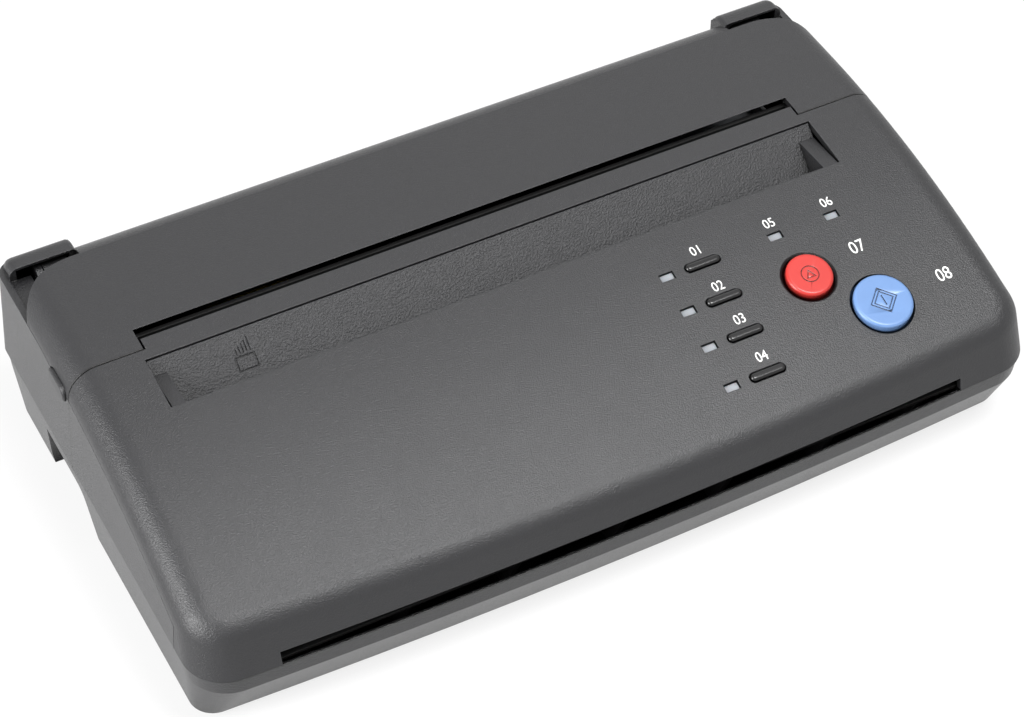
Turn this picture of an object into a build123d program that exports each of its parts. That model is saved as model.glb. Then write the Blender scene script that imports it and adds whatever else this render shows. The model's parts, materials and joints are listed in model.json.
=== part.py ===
from build123d import *
import math
import os

os.makedirs("parts", exist_ok=True)

# Thermal stencil copier. Millimetres, +Z up, front at -Y, centred on X = 0.

# ---- Casing ----
half_width = 141.0          # at the seam between base and upper casing
front_y = -80.35            # middle of the bowed front at the seam
rear_y = 80.35
origin_shift_y = -0.84      # puts the origin under the middle of the overall box
front_bow = 3.7             # how far the front's middle stands ahead of its ends
seam_z = 27.35              # lower edge of the upper casing
seam_gap = 0.3              # gap left between casing pieces
side_lean = 0.072           # inward lean of the sides, mm per mm of height
apron_lean = 16.0           # degrees from vertical
top_z = 66.95
flat_top_y = 43.3           # the top is level behind this line
top_arc_radius = 300.0
arc_sweep = 30.0            # degrees of arc drawn, more than the casing uses
edge_radius = 9.8           # rounding between top and sides
front_corner_radius = 13.6
rear_corner_radius = 6.0
long_rear_y = rear_y + 25.0  # the wedge is rounded past its rear, then trimmed
wall = 2.2
form_margin = 12.0          # extra height of the wedge that is trimmed away

# ---- Base pan ----
base_bottom_z = 2.0
base_crease_z = 21.1
base_bottom_half_width = 138.6
base_bottom_front_y = -69.8
base_bottom_rear_y = 78.6
base_rim_inset = 0.35
base_crease_inset = 0.8
base_bottom_corner = 7.8
floor_thickness = 2.2
floor_z = base_bottom_z + floor_thickness
foot_radius = 6.0
foot_recess = 1.0
foot_x = 116.0
foot_front_y = -46.0
foot_rear_y = 60.0

boss_radius = 3.6
screw_head = 2.8
screw_shank = 1.5
screw_head_height = 2.0
head_sink = 0.6             # seat of a long screw's head above the floor's inside
long_screw_length = 32.0
hole_clearance = 0.2
case_post_z = 26.0
case_post_top_z = 40.0
web_half = 1.5              # half thickness of the posts' webs
case_screw_x = 130.8
case_screw_front_y = -46.0
case_screw_rear_y = 60.0
vent_width = 3.0
vent_front_y = 40.0
vent_rear_y = 66.0
vent_first_x = -94.0
vent_pitch = 8.0
vent_count = 7
spacer_radius = 2.8
board_z = 9.4
boards_y = (32.0, 74.0)
power_board_x = (-110.0, -30.0)
main_board_x = (-26.0, 78.0)
spacer_edge_y = 4.0         # spacers from the boards' edges
power_spacer_edge_x = 6.0
main_spacer_edge_x = 4.0

# ---- Finger recesses in the base's sides ----
recess_front_low_y = 10.5
recess_front_high_y = 15.4
recess_rear_high_y = 44.0
recess_rear_low_y = 48.6
recess_top_z = 20.4
recess_corner = 5.0
recess_inner_x = 132.5

# ---- Seam between covers and cheeks, side view ----
cheek_end_y = -58.2
cheek_end_z = 37.0
cheek_middle_y = -9.2
cheek_middle_z = 51.4
side_seam_y = 18.4          # front cover ends, rear cover begins
cheek_tab_z = 55.6
cheek_rear_z = 58.0
lip_height = 2.6            # upstand of the cheek inside the covers
lip_gap = 0.3
lip_thickness = 1.2

# ---- Paper path, seen from above ----
path_x = -2.1               # centre of the paper path
slot_half = 112.3
slot_rear_y = 26.9
slot_lip = 0.6              # upright part of the slot's rear edge
slot_undercut = 2.0         # the edge's lower part leans back this far
tongue_rear_y = 22.6
tongue_side_gap = 0.7
ramp_half = 113.5
ramp_rear_y = 14.7
mouth_y = -4.1
ramp_angle = 40.0
ramp_drop = 0.35            # ramp's rear edge below the cover's surface
ramp_thickness = 2.0
left_wing_width = 4.2
right_wing_width = 5.2
wing_slit = 0.5
wing_rear_y = 10.5
wing_rear_z = 62.2
wing_front_z = 63.0
exit_half = 114.1
exit_rim = 0.9              # base rim left in front of the paper exit
exit_top_z = 31.75
plate_inner_half = 114.5    # side plates' inner faces from path_x
plate_thickness = 1.2

# ---- Rear cover ----
cover_rear_y = 64.1
cover_corner_radius = 22.0
pivot_y = 71.6
pivot_z = 55.0
pin_radius = 2.0
eye_radius = 4.4
arm_x = 122.0
arm_width = 8.0
arm_reach = 11.6
arm_depth = 6.0
hood_inner_x = 114.8
hood_outer_x = 136.6
hood_front_y = 71.8
hood_top_z = 62.0
hood_radius = 5.5
hood_end_radius = 3.0
hood_lip = 0.9
hood_lip_depth = 2.4
rail_radius = 14.6
rail_top_z = 62.5
rail_front_y = 60.0
running_clearance = 0.05
deck_top_z = 57.4
deck_thickness = 2.0

# ---- Control panel ----
panel_y = -36.0             # where the control board runs parallel to the panel
board_depth = 9.4           # panel surface to board's upper face
board_thickness = 1.4
key_x = 51.8
key_rows = (-21.0, -34.1, -46.9, -60.4)
key_length = 11.8
key_width = 2.8
key_height = 1.0
window_x = 39.5
signal_row = -20.9
power_window_x = 77.8
fault_window_x = 98.1
window_length = 4.4
window_width = 2.3
window_recess = 0.8
window_gap_side = 0.25
lamp_height = 0.8
lamp_length = 2.0
lamp_width = 1.25
stem_radius = 1.5
button_edge = 1.0
dish_depth = 0.7
stop_x = 79.9
stop_y = -37.5
stop_radius = 7.45
stop_height = 1.7
stop_dish_radius = 9.2
copy_x = 96.6
copy_y = -53.6
copy_radius = 9.4
copy_height = 2.0
button_gap = 0.35
round_gap = 0.85            # dark ring round the stop and copy buttons
switch_height = 3.0
switch_side = 6.0
plunger_height = 0.9
plunger_radius = 1.7
stem_gap = 0.9              # stem to switch plunger, a little over the travel
flange_margin = 1.1
flange_lap = 0.75           # round flanges reach this far under the cover
flange_thickness = 0.8

# ---- Drive ----
gear_module = 0.8
pressure_angle = 20.0
tooth_backlash = 0.12
addendum = 0.8              # in modules
dedendum = 1.2
platen_teeth = 22
feed_teeth = 24
rear_idler_teeth = 38
motor_teeth = 12
middle_idler_teeth = 28
front_idler_teeth = 38
exit_teeth = 16
gear_face = 5.0
gear_layer_gap = 0.6
platen_y = 5.0
platen_z = 30.0
platen_radius = 8.0
shaft_radius = 3.0
feed_radius = 7.0
exit_radius = 5.0
exit_core_radius = 3.4
roller_gap = 0.3
stud_radius = 2.0
web_depth = 1.4

# ---- Fixings, latch and sockets ----
lug_y = (-31.0, 3.0)        # where the front cover stands on the upper frame
lug_drop = 14.0             # lug below the cover's top surface
lug_thickness = 2.4
lug_half = 4.2
lug_x = 130.4
cover_screw_length = 9.0
board_bosses_at = [(37.0, -27.5), (36.0, -54.0), (106.0, -29.0), (74.0, -56.0)]
board_boss_radius = 2.4
small_screw_head = 2.0
small_screw_shank = 1.0
small_head_height = 1.3
small_slot = 0.6            # width of the driver slot, and metal left under it
board_x = (32.5, 109.5)
board_front_v = -29.0       # along the slope from panel_y
board_rear_v = 20.5
tab_y = 26.9
tab_z = 55.6
tab_length = 12.4
tab_height = 5.8
tab_gap = 0.3
tab_stand = 1.0
tab_flange_x = (134.4, 135.9)
tab_flange_margin = 1.4
tab_pocket_half = 9.0
tab_pocket_z = (48.5, 62.0)
latch_x = (129.0, 131.0)
latch_y = (20.9, 25.7)
latch_low_z = 52.5
tooth_depth = 1.4
tooth_height = 1.6
nose_gap = 0.3
tab_arm_z = (49.4, 51.8)
spring_y = 30.4
spring_z = 53.6
spring_radius = 2.2
spring_wire = 0.4
spring_guide_gap = 0.3
spring_stop_x = 124.0
spring_end_x = 131.9
shelf_z = (45.0, 46.6)
inlet_x = -96.0
switch_x = -66.0
socket_z = 38.0
inlet_width = 22.0
inlet_height = 10.0
inlet_depth = 14.0
switch_width = 19.2
switch_height_z = 12.9
switch_depth = 14.0
socket_flange = 1.5
flange_lip = 1.5
rocker_tilt = 7.0
rocker_pin = 1.0

# ---- Paper guides, sensor and print head ----
ramp_front_y = -20.4
sleeve_x = (-82.0, -42.0, -2.0, 38.0, 78.0)
sleeve_length = 20.0
sleeve_proud = 0.5
window_gap = 1.2
upper_guide_rear = (-21.6, 35.3)
upper_guide_front = (-52.0, 31.5)
upper_guide_thickness = 1.4
backing_y = -34.0
backing_z = 29.9
backing_radius = 3.9
backing_shaft = 1.5
backing_half = 108.0
sensor_y = (-40.5, -27.6)
sensor_z = (35.4, 42.6)
glass_y = (-38.2, -29.8)
glass_z = 34.6
lower_guide_rear = (-5.0, 21.0)
lower_guide_bend = (-58.0, 27.1)
lower_guide_front = (-75.0, 27.0)
lower_guide_thickness = 1.0
guide_rib_offsets = (-104.0, -72.0, -36.0, 0.0, 36.0, 72.0, 104.0)
guide_rib_thickness = 2.0
chute_wall = 1.4
chute_front_y = 22.1        # inner faces of the chute
chute_rear_y = 27.4
chute_top_z = 62.4
chute_bend_z = 36.0
chute_bend_sweep = 58.0
chute_bend = 15.3
head_y = (-2.0, 16.0)
head_top_z = 21.7
head_plate = 1.2
head_cover_y = (12.4, 15.8)
head_cover_z = 24.2
sink_height = 6.0
sink_groove = 2.0
sink_grooves = 4
sink_first = 2.2
sink_pitch = 4.0
sink_skin = 1.4
sink_web = 2.0
carrier_y = (-3.6, 17.6)
carrier_thickness = 1.4
carrier_side = 3.0
head_half = 111.0
head_spring_offsets = (-78.0, 0.0, 78.0)
head_spring_radius = 4.0
head_spring_wire = 0.7

# ---- Rollers and drive train ----
roller_half = 111.0
bush_wall = 1.5
bush_flange = 1.0
bush_flange_width = 2.8
plate_clearance = 2.2       # side plate to first gear
stud_collar = 3.2
clip_radius = 3.4
clip_thickness = 1.0
motor_size = 35.0
motor_corner = 4.0
motor_length = 26.0
motor_hole_half = 13.0
motor_shaft_radius = 2.5
motor_boss_radius = 11.0
plate_foot = 7.5
plate_screw_y = (-30.0, 52.0)
middle_angle = 215.0        # directions between gear centres, side view, degrees from +Y
feed_angle = 169.0
front_train_angle = 175.0
rear_idler_angle = -10.0
ring_offsets = (-90.0, -54.0, -18.0, 18.0, 54.0, 90.0)
ring_length = 12.0
pinch_radius = 3.4
pinch_shaft = 1.2

# ---- Document flag and separation pad ----
flag_x = -22.0
flag_pivot_y = -4.0
flag_pivot_z = 42.1
flag_pin = 1.5
flag_width = 3.0
flag_slot_half = 2.6
flag_ear = 1.6
flag_reach = 9.4
pad_half = 9.0
pad_low_y = -20.4
pad_high_y = -13.6
pad_thickness = 1.5

left_plate_x = path_x - plate_inner_half
right_plate_x = path_x + plate_inner_half
gear_x = right_plate_x + plate_thickness + plate_clearance
outer_gear_x = gear_x + gear_face + gear_layer_gap

feet_at = [(x, y) for x in (-foot_x, foot_x) for y in (foot_front_y, foot_rear_y)]
case_screws_at = [
    (x, y) for x in (-case_screw_x, case_screw_x) for y in (case_screw_front_y, case_screw_rear_y)]
vents_at = [vent_first_x + vent_pitch * n for n in range(vent_count)]


def inside_corners(x, y, edge_x, edge_y):
    """Four points inside the corners of a board."""
    return [(sx, sy) for sy in (y[0] + edge_y, y[1] - edge_y) for sx in (x[0] + edge_x, x[1] - edge_x)]


power_spacers = inside_corners(power_board_x, boards_y, power_spacer_edge_x, spacer_edge_y)
main_spacers = inside_corners(main_board_x, boards_y, main_spacer_edge_x, spacer_edge_y)


def step(start, teeth_a, teeth_b, angle):
    """Centre of gear b that meshes with gear a at start, in direction angle."""
    distance = gear_module * (teeth_a + teeth_b) / 2
    turn = math.radians(angle)
    return (start[0] + distance * math.cos(turn), start[1] + distance * math.sin(turn))


platen_at = (platen_y, platen_z)
feed_y, feed_z = step(platen_at, platen_teeth, feed_teeth, feed_angle)
rear_idler_at = step(platen_at, platen_teeth, rear_idler_teeth, rear_idler_angle)
motor_at = step(rear_idler_at, rear_idler_teeth, motor_teeth, 0)
middle_idler_at = step(platen_at, platen_teeth, middle_idler_teeth, middle_angle)
front_idler_at = step(middle_idler_at, middle_idler_teeth, front_idler_teeth, front_train_angle)
exit_y, exit_z = step(front_idler_at, front_idler_teeth, exit_teeth, front_train_angle)
pinch_z = exit_z + exit_radius + roller_gap + pinch_radius


# ---------------------------------------------------------------- helpers
def block(x, y, z):
    """Box between two limits on each axis."""
    size = Box(x[1] - x[0], y[1] - y[0], z[1] - z[0], align=(Align.MIN, Align.MIN, Align.MIN))
    return Pos(x[0], y[0], z[0]) * size


def along_x(face, x_low, x_high):
    """A side view (y, z) carried from x_low to x_high."""
    return Pos(x_low, 0, 0) * extrude(Plane.YZ * face, x_high - x_low)


def side_shape(points):
    """Closed straight-sided side view."""
    return make_face(Polyline(*points, close=True))


def rod_x(radius, x_low, x_high, y, z):
    return Pos((x_low + x_high) / 2, y, z) * Rot(0, 90, 0) * Cylinder(radius, x_high - x_low)


def post(radius, x, y, z_low, z_high):
    return Pos(x, y, (z_low + z_high) / 2) * Cylinder(radius, z_high - z_low)


def both_sides(part):
    return part + mirror(part, Plane.YZ)


def save(name, *solids):
    """Write one node, keeping its separate solids."""
    pieces = []
    for solid in solids:
        pieces.extend(solid.solids())
    pieces = [Pos(0, origin_shift_y, 0) * piece for piece in pieces]
    shape = pieces[0] if len(pieces) == 1 else Compound(children=pieces)
    export_step(shape, f"parts/{name}.step")


def top_height(y):
    """Height of the top surface at depth y."""
    if y >= flat_top_y:
        return top_z
    reach = flat_top_y - y
    return top_z - top_arc_radius + math.sqrt(top_arc_radius ** 2 - reach ** 2)


def ramp_height(y):
    """Height of the document ramp's upper face at depth y."""
    return top_height(ramp_rear_y) - ramp_drop - math.tan(math.radians(ramp_angle)) * (ramp_rear_y - y)


# ---------------------------------------------------------------- casing forms
def plan(half, front, bow, rear, front_corner, rear_corner):
    """Outline from above: straight sides and rear, bowed front, round corners."""
    left_front = (-half, front + bow)
    right_front = (half, front + bow)
    right_rear = (half, rear)
    left_rear = (-half, rear)
    edges = [
        ThreePointArc(left_front, (0, front), right_front),
        Line(right_front, right_rear),
        Line(right_rear, left_rear),
        Line(left_rear, left_front),
    ]
    face = make_face(edges)
    face = fillet(face.vertices().sort_by(Axis.Y)[:2], front_corner)
    return fillet(face.vertices().sort_by(Axis.Y)[-2:], rear_corner)


def upper_section(z, inset, rear, rear_corner):
    rise = z - seam_z
    half = half_width - side_lean * rise - inset
    front = front_y + math.tan(math.radians(apron_lean)) * rise + inset
    outline = plan(half, front, front_bow, rear, front_corner_radius - inset, rear_corner)
    return Pos(0, 0, z) * outline


def wedge_block(inset, rear, rear_corner):
    """Leaning sides and apron, before the top is cut to its profile."""
    low = upper_section(seam_z - form_margin, inset, rear, rear_corner)
    high = upper_section(top_z + form_margin, inset, rear, rear_corner)
    return loft([low, high])


def under_top(inset):
    """Everything below the top profile moved down by inset."""
    level = top_z - inset
    radius = top_arc_radius - inset
    far_front = flat_top_y - radius * math.sin(math.radians(arc_sweep))
    arc_end = level - radius * (1 - math.cos(math.radians(arc_sweep)))
    far_rear = long_rear_y + form_margin
    edges = [
        Line((far_rear, level), (flat_top_y, level)),
        CenterArc((flat_top_y, level - radius), radius, 90, arc_sweep),
        Line((far_front, arc_end), (far_front, -form_margin)),
        Line((far_front, -form_margin), (far_rear, -form_margin)),
        Line((far_rear, -form_margin), (far_rear, level)),
    ]
    return along_x(make_face(edges), -half_width - form_margin, half_width + form_margin)


def upper_form(inset):
    """The wedge of the upper casing, all faces moved inward by inset."""
    wedge = wedge_block(inset, long_rear_y, front_corner_radius) & under_top(inset)
    top_faces = [face for face in wedge.faces() if face.normal_at().Z > 0.6]
    rim = []
    for face in top_faces:
        for edge in face.edges():
            shared = [other for other in top_faces if any(edge.is_same(e) for e in other.edges())]
            if len(shared) == 1:
                rim.append(edge)
    rounded = fillet(rim, edge_radius - inset)
    return rounded & wedge_block(inset, rear_y - inset, rear_corner_radius - inset)


def cheek_line(shift):
    """Cheek's upper edge as side-view edges, moved up by shift."""
    return [
        Line((rear_y + form_margin, cheek_rear_z + shift), (flat_top_y, cheek_rear_z + shift)),
        Line((flat_top_y, cheek_rear_z + shift), (side_seam_y, cheek_tab_z + shift)),
        ThreePointArc(
            (side_seam_y, cheek_tab_z + shift),
            (cheek_middle_y, cheek_middle_z + shift),
            (cheek_end_y - shift, cheek_end_z + shift),
        ),
    ]


def cheek_region(shift):
    """Side view of the cheeks, from the seam up to their edge."""
    low = seam_z
    edges = cheek_line(shift) + [
        Line((cheek_end_y - shift, cheek_end_z + shift), (cheek_end_y - shift, low)),
        Line((cheek_end_y - shift, low), (rear_y + form_margin, low)),
        Line((rear_y + form_margin, low), (rear_y + form_margin, cheek_rear_z + shift)),
    ]
    return along_x(make_face(edges), -half_width - 1, half_width + 1)


# ---------------------------------------------------------------- base
def base_section(z, inset):
    """Base outline at height z: lower band tapers, upper band is nearly upright."""
    rim_z = seam_z - seam_gap
    rear = rear_y - base_rim_inset
    rim = (half_width - base_rim_inset, front_y + base_rim_inset, rear, front_corner_radius)
    crease = (half_width - base_crease_inset, front_y + base_crease_inset, rear, front_corner_radius)
    bottom = (base_bottom_half_width, base_bottom_front_y, base_bottom_rear_y, base_bottom_corner)
    if z >= base_crease_z:
        low, high, share = crease, rim, (z - base_crease_z) / (rim_z - base_crease_z)
    else:
        low, high, share = bottom, crease, (z - base_bottom_z) / (base_crease_z - base_bottom_z)
    half, front, rear, corner = [a + (b - a) * share for a, b in zip(low, high)]
    outline = plan(
        half - inset, front + inset, front_bow, rear - inset, corner - inset, base_bottom_corner - inset)
    return Pos(0, 0, z) * outline


def finger_recess(margin):
    """Arched side view of the finger recess, grown by margin."""
    face = side_shape([
        (recess_front_low_y - margin, 0),
        (recess_front_high_y - margin, recess_top_z + margin),
        (recess_rear_high_y + margin, recess_top_z + margin),
        (recess_rear_low_y + margin, 0),
    ])
    return fillet(face.vertices().sort_by(Axis.Y)[1:3], recess_corner + margin)


def base_form(low_z, inset):
    """The base from low_z up to its rim, all walls moved inward by inset."""
    levels = (low_z, base_crease_z, seam_z - seam_gap)
    return loft([base_section(z, inset) for z in levels], ruled=True)


def make_base_pan():
    """Pan with thin rim at the paper exit, finger recesses, bosses, spacers, vents and foot seats."""
    outer = base_form(base_bottom_z, 0)
    pan = outer - base_form(floor_z, wall)
    lining = along_x(finger_recess(wall), recess_inner_x - wall, half_width) & outer
    pan = pan + both_sides(lining)
    exit_zone = block(
        (path_x - exit_half, path_x + exit_half), (front_y - 10, front_y + 20), (base_crease_z, seam_z))
    pan = pan - (base_form(floor_z, exit_rim) & exit_zone)
    pan = pan - both_sides(along_x(finger_recess(0), recess_inner_x, half_width + 1))
    for x, y in case_screws_at:
        pan = pan + post(boss_radius, x, y, floor_z, case_post_z)
        pan = pan - post(screw_shank + hole_clearance, x, y, 0, case_post_z + 1)
        pan = pan - post(screw_head + hole_clearance, x, y, 0, floor_z + head_sink)
    for x, y in feet_at:
        pan = pan - post(foot_radius, x, y, 0, base_bottom_z + foot_recess)
    for x in vents_at:
        pan = pan - block((x, x + vent_width), (vent_front_y, vent_rear_y), (0, floor_z + 1))
    for x, y in power_spacers + main_spacers:
        pan = pan + post(spacer_radius, x, y, floor_z, board_z)
    return pan


# ---------------------------------------------------------------- upper frame
def tab_outline(margin):
    """Side view of the release tab, grown by margin."""
    return Pos(tab_y, tab_z) * SlotOverall(tab_length + 2 * margin, tab_height + 2 * margin)


def tab_hole():
    return both_sides(along_x(tab_outline(tab_gap), tab_flange_x[0], half_width + 1))


def rail():
    """Rounded rail behind the rear cover, between the hinge hoods."""
    center_y = rear_y - rail_radius
    center_z = rail_top_z - rail_radius
    outer = Pos(center_y, center_z) * Circle(rail_radius)
    inner = Pos(center_y, center_z) * Circle(rail_radius - wall)
    quarter = Pos(center_y, center_z) * Rectangle(rail_radius, rail_radius, align=(Align.MIN, Align.MIN))
    lead = Polyline(
        (rail_front_y, rail_top_z), (center_y, rail_top_z), (center_y, rail_top_z - wall),
        (rail_front_y, rail_top_z - wall), close=True)
    face = (outer - inner) & quarter
    return along_x(face, -hood_inner_x, hood_inner_x) + along_x(make_face(lead), -hood_inner_x, hood_inner_x)


def round_edges(solid, side):
    """Top, corner and rear edges at one end of a hood: side 0 is its inner end, -1 its outer end."""
    def upper_rear(edge):
        return edge.center().Y > hood_front_y + 1 and edge.center().Z > shelf_z[1] + 0.5

    return solid.edges().group_by(Axis.X)[side].filter_by(upper_rear)


def hood(casing_block):
    """Hinge hood on the right rear corner with its two hinge ears."""
    outline = side_shape([
        (hood_front_y, shelf_z[1]), (hood_front_y, hood_top_z), (rear_y, hood_top_z), (rear_y, shelf_z[1])])
    rear_top = outline.vertices().sort_by(Axis.X)[-2:].sort_by(Axis.Y)[-1:]
    solid = along_x(fillet(rear_top, hood_radius), hood_inner_x, hood_outer_x)
    solid = fillet(round_edges(solid, -1), hood_end_radius)
    solid = fillet(round_edges(solid, 0), hood_end_radius / 2)
    hollow_x = (hood_inner_x + wall, hood_outer_x - wall)
    hollow = block(hollow_x, (0, rear_y - wall), (0, hood_top_z - wall))
    under_lip = block(hollow_x, (0, hood_front_y + hood_lip_depth), (0, hood_top_z - hood_lip))
    solid = solid - hollow - under_lip
    inner_ear = (hood_inner_x, hood_inner_x + wall)
    outer_ear = (arm_x + arm_width / 2 + seam_gap, arm_x + arm_width / 2 + seam_gap + wall)
    for x_low, x_high in (inner_ear, outer_ear):
        solid = solid + rod_x(eye_radius, x_low, x_high, pivot_y, pivot_z)
        ear_z = (pivot_z - eye_radius, pivot_z + eye_radius)
        solid = solid + block((x_low, x_high), (pivot_y, rear_y - wall / 2), ear_z)
        solid = solid - rod_x(pin_radius, x_low - 1, x_high + 1, pivot_y, pivot_z)
    return solid & casing_block


def latch_shelf(inner):
    """Shelf and stop that carry the release tab's spring."""
    pocket_y = (tab_y - tab_pocket_half, tab_y + tab_pocket_half)
    shelf = block((spring_stop_x - wall, half_width), pocket_y, shelf_z)
    stop = block(
        (spring_stop_x - wall, spring_stop_x), (spring_y - 4, spring_y + 4), (shelf_z[0], spring_z + 4))
    guide_radius = spring_radius - spring_wire - spring_guide_gap
    guide = rod_x(guide_radius, spring_stop_x - 1, spring_end_x - 2.5, spring_y, spring_z)
    return (shelf + stop + guide) & inner


def frame_fixings(inner):
    """Posts over the base's bosses and lugs under the front cover's bosses."""
    parts = Part()
    for x, y in case_screws_at:
        side = math.copysign(1, x)
        web_x = tuple(sorted((x, side * half_width)))
        web = block(web_x, (y - web_half, y + web_half), (seam_z + 1, case_post_top_z - 2))
        parts = parts + post(boss_radius, x, y, case_post_z, case_post_top_z) + (web & inner)
    for y in lug_y:
        low = top_height(y) - lug_drop - lug_thickness
        pad = block((lug_x - lug_half, half_width), (y - lug_half, y + lug_half), (low, low + lug_thickness))
        parts = parts + both_sides(pad & inner)
    return parts


def make_upper_frame(outer, inner):
    casing_block = wedge_block(0, rear_y, rear_corner_radius)
    shell = (outer - inner) & cheek_region(0)
    rail_window = block(
        (-hood_inner_x, hood_inner_x), (cover_rear_y, rear_y + 1), (rail_top_z - rail_radius, top_z))
    shell = shell - rail_window
    lip_outer = upper_form(wall + lip_gap)
    lip_inner = wedge_block(wall + lip_gap + lip_thickness, rear_y - wall, rear_corner_radius)
    zone = block((-half_width, half_width), (cheek_end_y, flat_top_y - 4), (seam_z + 4, top_z))
    lip = (lip_outer - lip_inner) & cheek_region(lip_height) & zone
    root = (inner - lip_inner) & cheek_region(-1.0) & zone
    pocket_y = (tab_y - tab_pocket_half, tab_y + tab_pocket_half)
    pocket = both_sides(block((tab_flange_x[0] - 1, half_width), pocket_y, tab_pocket_z))
    deck_z = (deck_top_z - deck_thickness, deck_top_z)
    deck_zone = block((arm_x + arm_width, half_width), (flat_top_y, hood_front_y), deck_z)
    deck = both_sides(inner & deck_zone)
    frame = shell + (lip + root - (pocket & inner)) + deck + rail()
    frame = frame + both_sides(hood(casing_block)) + both_sides(latch_shelf(inner))
    frame = frame + frame_fixings(inner)
    for x, y in case_screws_at:
        frame = frame - post(screw_shank, x, y, 0, case_post_top_z - 3)
    for y in lug_y:
        for x in (-lug_x, lug_x):
            top = top_height(y) - lug_drop
            frame = frame - post(screw_shank + hole_clearance, x, y, top - lug_thickness - 1, top + 1)
    frame = frame - tab_hole()
    frame = frame - block(
        (inlet_x - inlet_width / 2, inlet_x + inlet_width / 2), (rear_y - 4, rear_y + 1),
        (socket_z - inlet_height / 2, socket_z + inlet_height / 2))
    frame = frame - block(
        (switch_x - switch_width / 2, switch_x + switch_width / 2), (rear_y - 4, rear_y + 1),
        (socket_z - switch_height_z / 2, socket_z + switch_height_z / 2))
    return frame


# ---------------------------------------------------------------- covers
def make_rear_cover(outer, inner):
    """Hinged cover: rounded rear corners, notch for the paper slot, arms and latch plates."""
    front = side_seam_y + seam_gap
    footprint = Rectangle(2 * half_width, cover_rear_y - front, align=(Align.CENTER, Align.MIN))
    footprint = fillet(footprint.vertices().sort_by(Axis.Y)[-2:], cover_corner_radius)
    zone = Pos(0, front, latch_low_z) * extrude(footprint, top_z)
    notch_view = side_shape([
        (front - 1, top_z + 1), (slot_rear_y, top_z + 1), (slot_rear_y, top_z - slot_lip),
        (slot_rear_y + slot_undercut, top_z - wall - 0.5), (slot_rear_y + slot_undercut, cheek_rear_z - 8),
        (front - 1, cheek_rear_z - 8),
    ])
    notch = along_x(notch_view, path_x - slot_half, path_x + slot_half)
    cover = (outer - inner) & zone
    cover = cover - cheek_region(seam_gap) - notch
    latch = block(latch_x, latch_y, (latch_low_z, top_z)) & inner
    tooth = block((latch_x[0] - tooth_depth, latch_x[0]), latch_y, (latch_low_z, latch_low_z + tooth_height))
    arm = hinge_arm() & outer
    cover = cover + both_sides(latch + tooth) + both_sides(arm)
    bore = rod_x(pin_radius + running_clearance, arm_x - arm_width, arm_x + arm_width, pivot_y, pivot_z)
    return cover - both_sides(bore) - tab_hole()


def hinge_arm():
    """Goose-neck arm from under the cover back to the hinge pin."""
    low_y = pivot_y - arm_reach
    outline = side_shape([
        (low_y - arm_depth / 2, top_z - wall / 2),
        (low_y - arm_depth / 2, pivot_z - eye_radius),
        (pivot_y, pivot_z - eye_radius),
        (pivot_y, pivot_z + eye_radius - 1.4),
        (low_y + arm_depth / 2, pivot_z + eye_radius - 1.4),
        (low_y + arm_depth / 2, top_z - wall / 2),
    ])
    arm = along_x(outline, arm_x - arm_width / 2, arm_x + arm_width / 2)
    return arm + rod_x(eye_radius, arm_x - arm_width / 2, arm_x + arm_width / 2, pivot_y, pivot_z)


def make_hinge_pin():
    length_end = arm_x + arm_width / 2 + seam_gap + wall
    return rod_x(pin_radius, hood_inner_x + 0.2, length_end, pivot_y, pivot_z)


def make_release_tab():
    """Right release tab: pill, inner flange, arm under the latch plate and nose."""
    surface_x = half_width - side_lean * (tab_z - seam_z)
    pill = along_x(tab_outline(0), tab_flange_x[0], surface_x + tab_stand)
    pill = fillet(pill.edges().group_by(Axis.X)[-1], 0.8)
    flange_half = tab_length / 2 + tab_flange_margin
    flange = block(tab_flange_x, (tab_y - flange_half, tab_y + flange_half), (tab_arm_z[0], tab_z + 3.6))
    nose_low = latch_low_z + tooth_height + nose_gap
    inner_x = latch_x[0] - tooth_depth - nose_gap
    y = (latch_y[0] + 0.6, latch_y[1] - 0.6)
    arm = block((inner_x - 2.2, tab_flange_x[0]), y, tab_arm_z)
    riser = block((inner_x - 2.2, inner_x), y, (tab_arm_z[0], nose_low + 2.0))
    return pill + flange + arm + riser


def make_tab_spring():
    """Coil on its guide, drawn at the length it has with the tab pressed."""
    turns = 6
    pitch = (spring_end_x - spring_stop_x - 2 * spring_wire) / turns
    path = Helix(pitch, pitch * turns, spring_radius - spring_wire)
    coil = sweep(Plane(path @ 0, z_dir=path % 0) * Circle(spring_wire), path=path)
    return Pos(spring_stop_x + spring_wire, spring_y, spring_z) * Rot(0, 90, 0) * coil


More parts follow.
